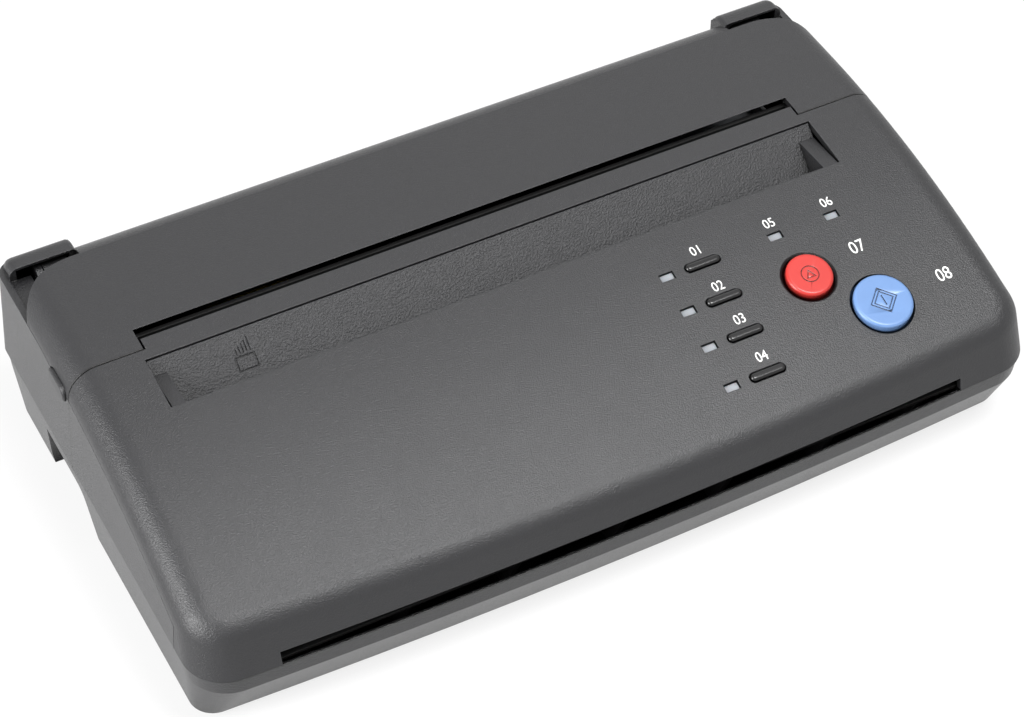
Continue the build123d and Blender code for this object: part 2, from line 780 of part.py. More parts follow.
def make_front_cover(outer, inner):
    """Operation cover with paper tongue, ramp recess, wings, exit slot, holes and bosses."""
    shell = outer - inner
    skin = upper_form(wall / 2)
    reach = half_width + 1
    body = shell & block((-reach, reach), (front_y - 10, side_seam_y), (seam_z, top_z + 1))
    body = body - cheek_region(seam_gap)
    tongue_half = slot_half - tongue_side_gap
    tongue_x = (path_x - tongue_half, path_x + tongue_half)
    tongue = shell & block(tongue_x, (side_seam_y - 1, tongue_rear_y), (cheek_rear_z, top_z))
    recess = block((path_x - ramp_half, path_x + ramp_half), (mouth_y, ramp_rear_y), (cheek_rear_z - 8, top_z))
    exit_x = (path_x - exit_half, path_x + exit_half)
    exit_slot = block(exit_x, (front_y - 10, front_y + 20), (0, exit_top_z))
    body = body + tongue - recess - exit_slot
    wings = wing(path_x - ramp_half + wing_slit, left_wing_width) + wing(
        path_x + ramp_half - wing_slit - right_wing_width, right_wing_width)
    body = body + (wings & outer)
    for y in lug_y:
        boss = post(boss_radius, lug_x, y, top_height(y) - lug_drop, top_z)
        body = body + both_sides(boss & skin)
    for x, y in board_bosses_at:
        body = body + (panel_rod(board_boss_radius, x, y, -board_depth, 0) & skin)
    for y in lug_y:
        low = top_height(y) - lug_drop - 1
        body = body - both_sides(post(screw_shank, lug_x, y, low, low + cover_screw_length))
    for x, y in board_bosses_at:
        body = body - panel_rod(small_screw_shank, x, y, -board_depth - 1, -board_depth + 4.6)
    key_hole = SlotOverall(key_length + 2 * button_gap, key_width + 2 * button_gap)
    for y in key_rows:
        body = body - panel_prism(key_hole, key_x, y, -6, 3)
    for x, y in windows_at:
        opening = Rectangle(window_length + 2 * window_gap_side, window_width + 2 * window_gap_side)
        body = body - panel_prism(opening, x, y, -6, 3)
    for x, y, radius in ((stop_x, stop_y, stop_radius), (copy_x, copy_y, copy_radius)):
        body = body - panel_prism(Circle(radius + round_gap), x, y, -6, 3)
    return body - stop_dish()


def wing(x_low, width):
    """Guide wing at one end of the ramp: level top, lower edge just over the ramp."""
    front = mouth_y - 1.5
    outline = side_shape([
        (wing_rear_y, ramp_height(wing_rear_y) + seam_gap),
        (wing_rear_y, wing_rear_z),
        (front, wing_front_z),
        (front, ramp_height(front) + seam_gap),
    ])
    return along_x(outline, x_low, x_low + width)


# ---------------------------------------------------------------- control panel
panel_tilt = math.asin((flat_top_y - panel_y) / top_arc_radius)
panel_plane = Plane(
    origin=(0, panel_y, top_height(panel_y)), x_dir=(1, 0, 0),
    z_dir=(0, -math.sin(panel_tilt), math.cos(panel_tilt)))
windows_at = [(window_x, y) for y in key_rows] + [(power_window_x, signal_row), (fault_window_x, signal_row)]


def panel_spot(y):
    """Along-slope position and height of the surface point at depth y, on panel_plane."""
    run = y - panel_y
    rise = top_height(y) - top_height(panel_y)
    along = run * math.cos(panel_tilt) + rise * math.sin(panel_tilt)
    height = rise * math.cos(panel_tilt) - run * math.sin(panel_tilt)
    return along, height


def panel_prism(face, x, y, low, high):
    """Face standing on the panel at (x, y), from low to high above its surface there."""
    along, height = panel_spot(y)
    return panel_plane * Pos(x, along, height + low) * extrude(face, high - low)


def panel_rod(radius, x, y, low, high):
    """Round post at (x, y) between two depths measured from panel_plane."""
    along = panel_spot(y)[0]
    return panel_plane * Pos(x, along, (low + high) / 2) * Cylinder(radius, high - low)


def flange_top(y, half_length):
    """Depth of a button flange that clears the curved underside of the panel."""
    tilt = math.asin((flat_top_y - y) / top_arc_radius) - panel_tilt
    return -(wall + 0.3 + half_length * abs(math.tan(tilt)))


def stem_end():
    """Depth of the button stems' ends below panel_plane."""
    return -board_depth + switch_height + plunger_height + stem_gap


def make_button(face, flange, flange_half, x, y, height, edge):
    """Cap, captive flange and stem of one button."""
    top = flange_top(y, flange_half)
    surface = panel_spot(y)[1]
    blank = extrude(face, height - top + flange_thickness / 2)
    blank = fillet(blank.edges().group_by(Axis.Z)[-1], edge)
    cap = panel_plane * Pos(x, panel_spot(y)[0], surface + top - flange_thickness / 2) * blank
    rim = panel_prism(flange, x, y, top - flange_thickness, top)
    stem = panel_rod(stem_radius, x, y, stem_end(), surface + top - flange_thickness / 2)
    return cap + rim + stem


def make_key(y):
    face = SlotOverall(key_length, key_width)
    flange = Rectangle(key_length + 2 * flange_margin, key_width + 2 * flange_margin)
    return make_button(face, flange, key_width / 2 + flange_margin, key_x, y, key_height, key_width * 0.36)


def make_round_button(x, y, radius, height):
    flange_radius = radius + round_gap + flange_lap
    return make_button(Circle(radius), Circle(flange_radius), flange_radius, x, y, height, button_edge)


def stop_dish():
    """Shallow dish around the stop button."""
    along, height = panel_spot(stop_y)
    cone = Cone(stop_radius + round_gap, stop_dish_radius + dish_depth, 2 * dish_depth)
    return panel_plane * Pos(stop_x, along, height) * cone


def make_windows():
    """Light pipes standing on their lamps."""
    parts = []
    for x, y in windows_at:
        surface = panel_spot(y)[1]
        low = -board_depth + lamp_height - surface
        parts.append(panel_prism(Rectangle(window_length, window_width), x, y, low, -window_recess))
    return parts


def make_lamps():
    """Lamps on the control board, one under each window."""
    lamps = []
    for x, y in windows_at:
        seat = -board_depth - panel_spot(y)[1]
        lamps.append(panel_prism(Rectangle(lamp_length, lamp_width), x, y, seat, seat + lamp_height))
    return lamps


def make_switches():
    places = [(key_x, y) for y in key_rows] + [(stop_x, stop_y), (copy_x, copy_y)]
    parts = []
    square = Rectangle(switch_side, switch_side)
    top = -board_depth + switch_height
    for x, y in places:
        base = panel_plane * Pos(x, panel_spot(y)[0], -board_depth) * extrude(square, switch_height)
        plunger = panel_rod(plunger_radius, x, y, top, top + plunger_height)
        parts.append(base + plunger)
    return parts


def make_control_board():
    middle_v = (board_front_v + board_rear_v) / 2
    middle_x = (board_x[0] + board_x[1]) / 2
    face = Rectangle(board_x[1] - board_x[0], board_rear_v - board_front_v)
    under = -board_depth - board_thickness
    board = panel_plane * Pos(middle_x, middle_v, under) * extrude(face, board_thickness)
    for x, y in board_bosses_at:
        board = board - panel_rod(small_screw_shank + hole_clearance, x, y, under - 1, -board_depth + 1)
    return board


def make_board_screws():
    under = -board_depth - board_thickness
    parts = []
    for x, y in board_bosses_at:
        head = panel_rod(small_screw_head, x, y, under - small_head_height, under)
        seat = under - panel_spot(y)[1]
        slot = Rectangle(2.6, small_slot)
        head = head - panel_prism(slot, x, y, seat - small_head_height - 1, seat - small_slot)
        parts.append(head + panel_rod(small_screw_shank, x, y, under, -board_depth + 4.0))
    return parts


def make_cover_screws():
    """Screws up through the frame's lugs into the front cover's bosses."""
    parts = []
    for y in lug_y:
        for x in (-lug_x, lug_x):
            under = top_height(y) - lug_drop - lug_thickness
            parts.append(screw_up(x, y, under, cover_screw_length))
    return parts


def screw_up(x, y, seat_z, length):
    """Pan-head screw pointing up, its head under seat_z."""
    head = post(screw_head, x, y, seat_z - screw_head_height, seat_z)
    head = fillet(head.edges().group_by(Axis.Z)[0], 0.8)
    slots = Rectangle(3.2, 0.8) + Rectangle(0.8, 3.2)
    drive = Pos(x, y, seat_z - screw_head_height - 1) * extrude(slots, 2.0)
    return head - drive + post(screw_shank, x, y, seat_z, seat_z + length)


# ---------------------------------------------------------------- paper guides
def sloped_plate(points, thickness, x_low, x_high):
    """Plate whose upper face follows the side-view points."""
    lower = [(y, z - thickness) for y, z in reversed(points)]
    return along_x(side_shape(points + lower), x_low, x_high)


def make_ramp():
    """Document ramp between the side plates, with windows for the feed sleeves and flag."""
    rear = ramp_rear_y - seam_gap
    drop = ramp_thickness / math.cos(math.radians(ramp_angle))
    points = [(rear, ramp_height(rear)), (ramp_front_y, ramp_height(ramp_front_y))]
    half = ramp_half - seam_gap
    ramp = sloped_plate(points, drop, path_x - half, path_x + half)
    ends = sloped_plate([(mouth_y, ramp_height(mouth_y)), points[1]], drop, left_plate_x, right_plate_x)
    back_z = (ramp_height(rear) - 7, ramp_height(rear) - drop / 2)
    back = block((path_x - half, path_x + half), (rear - 1.5, rear), back_z)
    ramp = ramp + ends + back
    for x in sleeve_x:
        half_window = sleeve_length / 2 + window_gap
        ramp = ramp - rod_x(feed_radius + window_gap, x - half_window, x + half_window, feed_y, feed_z)
    ramp = ramp - block((flag_x - flag_slot_half, flag_x + flag_slot_half), (-18.5, -4.9), (20, 60))
    ears = Part()
    ear_z = (flag_pivot_z - 3, ramp_height(flag_pivot_y) - 1)
    for x in (flag_x - flag_slot_half - flag_ear, flag_x + flag_slot_half):
        ear = block((x, x + flag_ear), (flag_pivot_y - 3, flag_pivot_y + 3), ear_z)
        ears = ears + ear - rod_x(flag_pin, x - 1, x + 3, flag_pivot_y, flag_pivot_z)
    return ramp + ears


def make_upper_guide():
    ends = [upper_guide_rear, upper_guide_front]
    plate = sloped_plate(ends, upper_guide_thickness, left_plate_x, right_plate_x)
    window_half = backing_half + 1
    window_reach = backing_radius + 0.9
    window = block(
        (path_x - window_half, path_x + window_half),
        (backing_y - window_reach, backing_y + window_reach), (20, 40))
    return plate - window


def make_lower_guide():
    """Bottom of the stencil path on five ribs that stand on the floor."""
    points = [lower_guide_rear, lower_guide_bend, lower_guide_front]
    plate = sloped_plate(points, lower_guide_thickness, left_plate_x + seam_gap, right_plate_x - seam_gap)
    under = lower_guide_thickness / 2
    rib_face = side_shape([
        (lower_guide_rear[0] - 1, floor_z), (lower_guide_rear[0] - 1, lower_guide_rear[1] - under),
        (lower_guide_bend[0], lower_guide_bend[1] - under),
        (lower_guide_front[0] + 1, lower_guide_front[1] - under),
        (-64.0, floor_z),
    ])
    rib_face = rib_face - Pos(exit_y, exit_z) * Circle(exit_core_radius + 0.8)
    rib_face = rib_face - Pos(exit_y, exit_z + 3) * Rectangle(2 * exit_core_radius + 1.6, 6)
    for offset in guide_rib_offsets:
        x = path_x + offset
        plate = plate + along_x(rib_face, x - guide_rib_thickness / 2, x + guide_rib_thickness / 2)
    for offset in ring_offsets:
        half_window = ring_length / 2 + window_gap
        x = path_x + offset
        plate = plate - rod_x(exit_radius + window_gap, x - half_window, x + half_window, exit_y, exit_z)
    return plate


def make_chute():
    """Narrow duct from the paper slot down to the print head."""
    x = (path_x - plate_inner_half, path_x + plate_inner_half)
    front = block(x, (chute_front_y - chute_wall, chute_front_y), (chute_bend_z, chute_top_z))
    rear = block(x, (chute_rear_y, chute_rear_y + chute_wall), (chute_bend_z, chute_top_z))
    center = (chute_rear_y - chute_bend, chute_bend_z)
    bend = CenterArc(center, chute_bend + chute_wall / 2, 0, -chute_bend_sweep)
    arc = along_x(trace(bend, chute_wall), x[0], x[1])
    chute = front + rear + arc
    for side in (x[0], x[1] - chute_wall):
        side_x = (side, side + chute_wall)
        chute = chute + block(side_x, (chute_front_y, chute_rear_y), (chute_bend_z, chute_top_z))
    return chute


# ---------------------------------------------------------------- gears
def involute_gear(teeth, phase):
    """Side view of a spur gear with one tooth centred on phase (degrees)."""
    pitch_radius = gear_module * teeth / 2
    base_radius = pitch_radius * math.cos(math.radians(pressure_angle))
    tip_radius = pitch_radius + addendum * gear_module
    root_radius = pitch_radius - dedendum * gear_module
    alpha = math.radians(pressure_angle)
    half_tooth = math.pi / (2 * teeth) - tooth_backlash / (2 * pitch_radius) + math.tan(alpha) - alpha

    def flank(radius):
        roll = math.acos(min(1.0, base_radius / radius))
        return half_tooth - (math.tan(roll) - roll)

    steps = 4
    start = max(base_radius, root_radius)
    radii = [start + (tip_radius - start) * n / steps for n in range(steps + 1)]
    tooth = [(root_radius, -flank(start))] + [(r, -flank(r)) for r in radii]
    tooth = tooth + [(r, flank(r)) for r in reversed(radii)] + [(root_radius, flank(start))]
    points = []
    for n in range(teeth):
        turn = math.radians(phase) + 2 * math.pi * n / teeth
        for r, angle in tooth:
            point = (r * math.cos(turn + angle), r * math.sin(turn + angle))
            if not points or math.dist(point, points[-1]) > 0.01:
                points.append(point)
    return make_face(Polyline(*points, close=True))


def gear(teeth, phase, y, z, x_low, x_high, bore):
    face = Pos(y, z) * (involute_gear(teeth, phase) - Circle(bore))
    body = along_x(face, x_low, x_high)
    root = gear_module * (teeth / 2 - dedendum)
    if root - bore > 5:
        web = Pos(y, z) * (Circle(root - 1.8) - Circle(bore + 2.0))
        body = body - along_x(web, x_low - 1, x_low + web_depth)
        body = body - along_x(web, x_high - web_depth, x_high + 1)
    return body


def meshed_phase(phase_a, teeth_a, teeth_b, angle):
    """Phase of gear b so that its gap meets gear a's tooth in direction angle."""
    return angle + 180 - (phase_a - angle) * teeth_a / teeth_b + 180 / teeth_b


def make_gears():
    """All gears in mesh at rest, by node name."""
    inner = (gear_x, gear_x + gear_face)
    outer = (outer_gear_x, outer_gear_x + gear_face)
    platen_phase = 0.0
    feed_phase = meshed_phase(platen_phase, platen_teeth, feed_teeth, feed_angle)
    rear_phase = meshed_phase(platen_phase, platen_teeth, rear_idler_teeth, rear_idler_angle)
    motor_phase = meshed_phase(rear_phase, rear_idler_teeth, motor_teeth, 0)
    middle_phase = meshed_phase(platen_phase, platen_teeth, middle_idler_teeth, middle_angle)
    front_phase = meshed_phase(middle_phase, middle_idler_teeth, front_idler_teeth, front_train_angle)
    exit_phase = meshed_phase(front_phase, front_idler_teeth, exit_teeth, front_train_angle)
    idler_bore = stud_radius + running_clearance
    return {
        "platen_gear": gear(platen_teeth, platen_phase, platen_y, platen_z, inner[0], outer[1], shaft_radius),
        "feed_gear": gear(feed_teeth, feed_phase, feed_y, feed_z, *inner, shaft_radius),
        "rear_idler_gear": gear(rear_idler_teeth, rear_phase, *rear_idler_at, *inner, idler_bore),
        "motor_pinion": gear(motor_teeth, motor_phase, *motor_at, *inner, motor_shaft_radius),
        "middle_idler_gear": gear(middle_idler_teeth, middle_phase, *middle_idler_at, *outer, idler_bore),
        "front_idler_gear": gear(front_idler_teeth, front_phase, *front_idler_at, *outer, idler_bore),
        "exit_gear": gear(exit_teeth, exit_phase, exit_y, exit_z, *outer, shaft_radius),
    }


def make_studs():
    """Shouldered studs with retaining clips for the three idlers."""
    plate_face = right_plate_x + plate_thickness
    parts = []
    idlers = ((rear_idler_at, gear_x), (middle_idler_at, outer_gear_x), (front_idler_at, outer_gear_x))
    for (y, z), low in idlers:
        high = low + gear_face + seam_gap
        collar = rod_x(stud_collar, plate_face, low - seam_gap, y, z)
        stud = rod_x(stud_radius, low - seam_gap, high + clip_thickness, y, z)
        clip = rod_x(clip_radius, high, high + clip_thickness, y, z)
        parts.append(collar + stud + clip)
    return parts


# ---------------------------------------------------------------- chassis plates
def make_side_plate(side):
    """Steel side plate that carries the rollers, guides and chute."""
    face = side_shape([
        (-66.0, floor_z), (-66.0, 36.5), (-44.0, 38.0), (-44.0, 46.0), (-22.0, 46.0), (-6.0, 55.0),
        (1.0, 57.0), (18.0, 57.0), (18.0, 61.5), (31.0, 61.5), (31.0, 50.0), (70.0, 46.0), (70.0, floor_z),
    ])
    bush = shaft_radius + bush_wall
    for y, z in ((platen_y, platen_z), (feed_y, feed_z), (exit_y, exit_z)):
        face = face - Pos(y, z) * Circle(bush)
    face = face - Pos(exit_y, pinch_z) * Circle(pinch_shaft + running_clearance)
    face = face - Pos(backing_y, backing_z) * Circle(backing_shaft + running_clearance)
    if side > 0:
        face = face - Pos(*motor_at) * Circle(motor_boss_radius)
        for dy in (-motor_hole_half, motor_hole_half):
            for dz in (-motor_hole_half, motor_hole_half):
                face = face - Pos(motor_at[0] + dy, motor_at[1] + dz) * Circle(screw_shank)
        x = (right_plate_x, right_plate_x + plate_thickness)
        foot = (right_plate_x, right_plate_x + plate_foot)
    else:
        x = (left_plate_x - plate_thickness, left_plate_x)
        foot = (left_plate_x - plate_foot, left_plate_x)
    plate = along_x(face, *x)
    for y in plate_screw_y:
        plate = plate + block(foot, (y - 7, y + 7), (floor_z, floor_z + plate_thickness))
        plate = plate - post(small_screw_shank, (foot[0] + foot[1]) / 2, y, 0, floor_z + 3)
    return plate


def make_plate_screws():
    parts = []
    for x in (left_plate_x - plate_foot / 2, right_plate_x + plate_foot / 2):
        for y in plate_screw_y:
            seat = floor_z + plate_thickness
            head = post(small_screw_head, x, y, seat, seat + small_head_height)
            head = fillet(head.edges().group_by(Axis.Z)[-1], 0.5)
            drive = Pos(x, y, seat + 0.6) * extrude(Rectangle(2.4, 0.6), 2)
            parts.append(head - drive + post(small_screw_shank, x, y, floor_z, seat))
    return parts


def make_bushes():
    """Flanged bushes of the three driven rollers, in both side plates."""
    parts = []
    bore_radius = shaft_radius + running_clearance
    for y, z in ((platen_y, platen_z), (feed_y, feed_z), (exit_y, exit_z)):
        for inner_x, direction in ((left_plate_x, -1), (right_plate_x, 1)):
            outer_x = inner_x + direction * plate_thickness
            tip_x = outer_x + direction * bush_flange
            sleeve_x_span = sorted((inner_x, outer_x))
            collar_x_span = sorted((outer_x, tip_x))
            sleeve = rod_x(shaft_radius + bush_wall, *sleeve_x_span, y, z)
            collar = rod_x(shaft_radius + bush_flange_width, *collar_x_span, y, z)
            bore = rod_x(bore_radius, left_plate_x - 9, right_plate_x + 9, y, z)
            parts.append(sleeve + collar - bore)
    return parts


# ---------------------------------------------------------------- rollers
def make_shaft(y, z, x_high):
    shaft = rod_x(shaft_radius, left_plate_x - 4.0, x_high, y, z)
    return chamfer(shaft.edges(), 0.4)


def make_rings(radius, core, centers, length, y, z):
    rings = []
    for x in centers:
        ring = rod_x(radius, x - length / 2, x + length / 2, y, z)
        rings.append(fillet(ring.edges(), 0.5) - rod_x(core, x - length, x + length, y, z))
    return rings


def make_pinch_roller(centers):
    """One-piece idle roller: slim axle with wheels over the exit rings."""
    ends = (left_plate_x - plate_thickness, right_plate_x + plate_thickness)
    roller = rod_x(pinch_shaft, *ends, exit_y, pinch_z)
    for x in centers:
        wheel = rod_x(pinch_radius, x - ring_length / 2 + 1, x + ring_length / 2 - 1, exit_y, pinch_z)
        roller = roller + fillet(wheel.edges(), 0.5)
    return roller


def make_backing_roller():
    """One-piece idle roller under the image sensor, with a journal at each end."""
    ends = (left_plate_x - plate_thickness, right_plate_x + plate_thickness)
    drum = rod_x(backing_radius, path_x - backing_half, path_x + backing_half, backing_y, backing_z)
    return chamfer(drum.edges(), 0.5) + rod_x(backing_shaft, *ends, backing_y, backing_z)


def make_platen_rubber():
    left, right = path_x - roller_half, path_x + roller_half
    rubber = rod_x(platen_radius, left, right, platen_y, platen_z)
    bore = rod_x(shaft_radius, left - 1, right + 1, platen_y, platen_z)
    return chamfer(rubber.edges(), 0.5) - bore


# ---------------------------------------------------------------- print head
def make_head():
    x = (path_x - head_half, path_x + head_half)
    plate = block(x, head_y, (head_top_z - head_plate, head_top_z))
    cover = block(x, head_cover_y, (head_top_z - head_plate / 2, head_cover_z))
    return plate + chamfer(cover.edges().group_by(Axis.Z)[-1].filter_by(Axis.X), 0.8)


def make_heat_sink():
    """Aluminium bar with grooves along its underside."""
    top = head_top_z - head_plate
    sink = block((path_x - head_half, path_x + head_half), head_y, (top - sink_height, top))
    groove_x = (path_x - head_half - 1, path_x + head_half + 1)
    groove_z = (top - sink_height + sink_skin, top - sink_web)
    for n in range(sink_grooves):
        y = head_y[0] + sink_first + n * sink_pitch
        sink = sink - block(groove_x, (y, y + sink_groove), groove_z)
    return sink


def make_carrier():
    """Folded steel channel that presses the head against the platen."""
    x = (path_x - head_half, path_x + head_half)
    top = head_top_z - head_plate - sink_height
    web = block(x, carrier_y, (top - carrier_thickness, top))
    side_z = (top - carrier_thickness - carrier_side, top)
    front = block(x, (carrier_y[0], carrier_y[0] + carrier_thickness), side_z)
    rear = block(x, (carrier_y[1] - carrier_thickness, carrier_y[1]), side_z)
    return web + front + rear


def make_head_springs():
    low = floor_z
    high = head_top_z - head_plate - sink_height - carrier_thickness
    turns = 5
    pitch = (high - low - 2 * head_spring_wire) / turns
    path = Helix(pitch, pitch * turns, head_spring_radius - head_spring_wire)
    coil = sweep(Plane(path @ 0, z_dir=path % 0) * Circle(head_spring_wire), path=path)
    y = (head_y[0] + head_y[1]) / 2
    return [Pos(path_x + offset, y, low + head_spring_wire) * coil for offset in head_spring_offsets]


# ---------------------------------------------------------------- document flag, pad
def make_flag():
    """Pivoted finger that the document pushes down."""
    pin_half = flag_slot_half + flag_ear
    pin = rod_x(flag_pin - running_clearance, flag_x - pin_half, flag_x + pin_half, flag_pivot_y, flag_pivot_z)
    tip_angle = math.radians(180 - 50)
    tip = (flag_pivot_y + flag_reach * math.cos(tip_angle), flag_pivot_z + flag_reach * math.sin(tip_angle))
    side = (1.1 * math.sin(tip_angle), -1.1 * math.cos(tip_angle))
    finger = side_shape([
        (flag_pivot_y + 2 * side[0], flag_pivot_z + 2 * side[1]), (tip[0] + side[0], tip[1] + side[1]),
        (tip[0] - side[0], tip[1] - side[1]), (flag_pivot_y - 2 * side[0], flag_pivot_z - 2 * side[1]),
    ])
    hub = rod_x(2.6, flag_x - flag_width / 2, flag_x + flag_width / 2, flag_pivot_y, flag_pivot_z)
    return pin + hub + along_x(finger, flag_x - flag_width / 2, flag_x + flag_width / 2)


def ramp_point(y, above):
    """Side-view point standing off the ramp's surface by above."""
    angle = math.radians(ramp_angle)
    return (y - above * math.sin(angle), ramp_height(y) + above * math.cos(angle))


def make_pad_holder():
    """Bracket from the image sensor back to the separation pad."""
    low = sleeve_proud + roller_gap + pad_thickness
    outline = side_shape([
        ramp_point(pad_low_y, low), ramp_point(pad_high_y, low), ramp_point(pad_high_y, low + 3.0),
        (sensor_y[1], sensor_z[1]), (sensor_y[1], sensor_z[0] + 4.0),
    ])
    return along_x(outline, path_x - pad_half, path_x + pad_half)


def make_pad():
    low = sleeve_proud + roller_gap
    outline = side_shape([
        ramp_point(pad_low_y, low), ramp_point(pad_high_y, low),
        ramp_point(pad_high_y, low + pad_thickness), ramp_point(pad_low_y, low + pad_thickness),
    ])
    return along_x(outline, path_x - pad_half, path_x + pad_half)


# ---------------------------------------------------------------- electrics
def make_motor():
    size = Rectangle(motor_size, motor_size)
    face = Pos(*motor_at) * chamfer(size.vertices(), motor_corner)
    low = right_plate_x - motor_length
    body = along_x(face, low, right_plate_x)
    body = body + rod_x(motor_boss_radius, right_plate_x - 1, right_plate_x + plate_thickness, *motor_at)
    body = body - rod_x(motor_shaft_radius + running_clearance, low + 8, right_plate_x + 9, *motor_at)
    for dy in (-motor_hole_half, motor_hole_half):
        for dz in (-motor_hole_half, motor_hole_half):
            y, z = motor_at[0] + dy, motor_at[1] + dz
            body = body - rod_x(screw_shank, right_plate_x - 5, right_plate_x + 1, y, z)
    return body


def make_motor_screws():
    parts = []
    face_x = right_plate_x + plate_thickness
    for dy in (-motor_hole_half, motor_hole_half):
        for dz in (-motor_hole_half, motor_hole_half):
            y, z = motor_at[0] + dy, motor_at[1] + dz
            head = rod_x(small_screw_head + 0.6, face_x, face_x + small_head_height, y, z)
            head = head - block((face_x + 0.6, face_x + 3), (y - 1.4, y + 1.4), (z - 0.35, z + 0.35))
            parts.append(head + rod_x(screw_shank, right_plate_x - 4, face_x, y, z))
    return parts


def make_board(x, y, spacers):
    board = block(x, y, (board_z, board_z + board_thickness))
    for sx, sy in spacers:
        board = board - post(small_screw_shank, sx, sy, 0, board_z + 5)
    return board


def make_spacer_screws():
    parts = []
    for x, y in power_spacers + main_spacers:
        seat = board_z + board_thickness
        head = post(small_screw_head, x, y, seat, seat + small_head_height)
        drive = Pos(x, y, seat + 0.6) * extrude(Rectangle(2.4, 0.6), 2)
        parts.append(head - drive + post(small_screw_shank, x, y, board_z, seat))
    return parts


def make_power_parts():
    """Transformer core with winding, two capacitors and a heat sink."""
    low = board_z + board_thickness
    core = block((-78, -50), (44, 50), (low, low + 16)) + block((-78, -50), (58, 64), (low, low + 16))
    winding = block((-75, -53), (50, 58), (low, low + 13))
    capacitors = [post(5.0, -92, 48, low, low + 15), post(4.0, -92, 61, low, low + 12)]
    return [core + winding] + capacitors


def make_main_parts():
    """Processor, driver and two connectors."""
    low = board_z + board_thickness
    return [
        block((10, 28), (46, 64), (low, low + 1.6)),
        block((44, 56), (44, 52), (low, low + 2.4)),
        block((-16, 8), (37, 42), (low, low + 6)),
        block((52, 68), (60, 66), (low, low + 6)),
    ]


def socket_body(x, width, height, depth):
    """Body through the rear wall with a rim outside it."""
    body = block(
        (x - width / 2, x + width / 2), (rear_y - wall - depth, rear_y),
        (socket_z - height / 2, socket_z + height / 2))
    rim = block(
        (x - width / 2 - flange_lip, x + width / 2 + flange_lip), (rear_y, rear_y + socket_flange),
        (socket_z - height / 2 - flange_lip, socket_z + height / 2 + flange_lip))
    rim = fillet(rim.edges().filter_by(Axis.Y), 1.2)
    return body + rim


def make_inlet():
    """Two-pin mains inlet: figure-eight shroud with two contact pins."""
    body = socket_body(inlet_x, inlet_width, inlet_height, inlet_depth)
    mouth = extrude(SlotOverall(inlet_width - 5, inlet_height - 2.6), inlet_depth)
    body = body - Pos(inlet_x, rear_y + 3, socket_z) * Rot(90, 0, 0) * mouth
    for dx in (-4.3, 4.3):
        pin = Pos(inlet_x + dx, rear_y - 5.5, socket_z) * Rot(90, 0, 0) * Cylinder(1.2, 13)
        body = body + pin
    return body


def make_switch_body():
    body = socket_body(switch_x, switch_width, switch_height_z, switch_depth)
    well = block(
        (switch_x - switch_width / 2 + 1.2, switch_x + switch_width / 2 - 1.2), (rear_y - 6.5, rear_y + 3),
        (socket_z - switch_height_z / 2 + 1.2, socket_z + switch_height_z / 2 - 1.2))
    body = body - well
    axle = rod_x(rocker_pin, switch_x - switch_width / 2, switch_x + switch_width / 2, rear_y - 1.5, socket_z)
    return body - axle


def make_rocker():
    """Rocker with a shallow vee front, tilted to one side on its axle."""
    half = switch_height_z / 2 - 1.2 - 0.7
    tip, middle, back = 3.0, 2.1, -3.1
    face = side_shape([
        (tip, half), (middle, 0), (tip, -half),
        (back + 1.2, -half * 0.6), (back, 0), (back + 1.2, half * 0.6),
    ])
    half_x = switch_width / 2 - 1.2 - 0.3
    axle_half = switch_width / 2 - 0.1
    body = along_x(face, -half_x, half_x) + rod_x(rocker_pin - running_clearance, -axle_half, axle_half, 0, 0)
    return Pos(switch_x, rear_y - 1.5, socket_z) * Rot(-rocker_tilt, 0, 0) * body


def make_foot(x, y):
    foot = post(foot_radius, x, y, 0, base_bottom_z + foot_recess)
    return fillet(foot.edges().group_by(Axis.Z)[0], 1.0)


# ---------------------------------------------------------------- write every node
outer = upper_form(0)
inner = upper_form(wall)

save("base_pan", make_base_pan())
save("rubber_feet", *[make_foot(x, y) for x, y in feet_at])
save("upper_frame", make_upper_frame(outer, inner))
save("rear_cover", make_rear_cover(outer, inner))
save("front_cover", make_front_cover(outer, inner))
save("hinge_pins", make_hinge_pin(), mirror(make_hinge_pin(), Plane.YZ))
save("release_tab_right", make_release_tab())
save("release_tab_left", mirror(make_release_tab(), Plane.YZ))
save("release_tab_springs", make_tab_spring(), mirror(make_tab_spring(), Plane.YZ))
long_screws = [screw_up(x, y, floor_z + head_sink, long_screw_length) for x, y in case_screws_at]
save("casing_screws", *long_screws, *make_cover_screws())

for number, row in enumerate(key_rows, start=1):
    save(f"mode_key_{number}", make_key(row))
save("stop_button", make_round_button(stop_x, stop_y, stop_radius, stop_height))
save("copy_button", make_round_button(copy_x, copy_y, copy_radius, copy_height))
save("indicator_windows", *make_windows())
save("key_switches", *make_switches())
save("control_board", make_control_board(), *make_lamps())
save("small_screws", *make_board_screws(), *make_plate_screws(), *make_spacer_screws())

save("document_ramp", make_ramp())
save("upper_paper_guide", make_upper_guide())
save("lower_paper_guide", make_lower_guide())
save("stencil_chute", make_chute())
save("image_sensor", block((left_plate_x, right_plate_x), sensor_y, sensor_z))
save("sensor_glass", block((path_x - roller_half, path_x + roller_half), glass_y, (glass_z, sensor_z[0])))
save("separation_pad", make_pad())
save("pad_holder", make_pad_holder())
save("document_flag", make_flag())

save("side_plate_left", make_side_plate(-1))
save("side_plate_right", make_side_plate(1))
save("roller_bushes", *make_bushes())
save("gear_studs", *make_studs())
for name, part in make_gears().items():
    save(name, part)

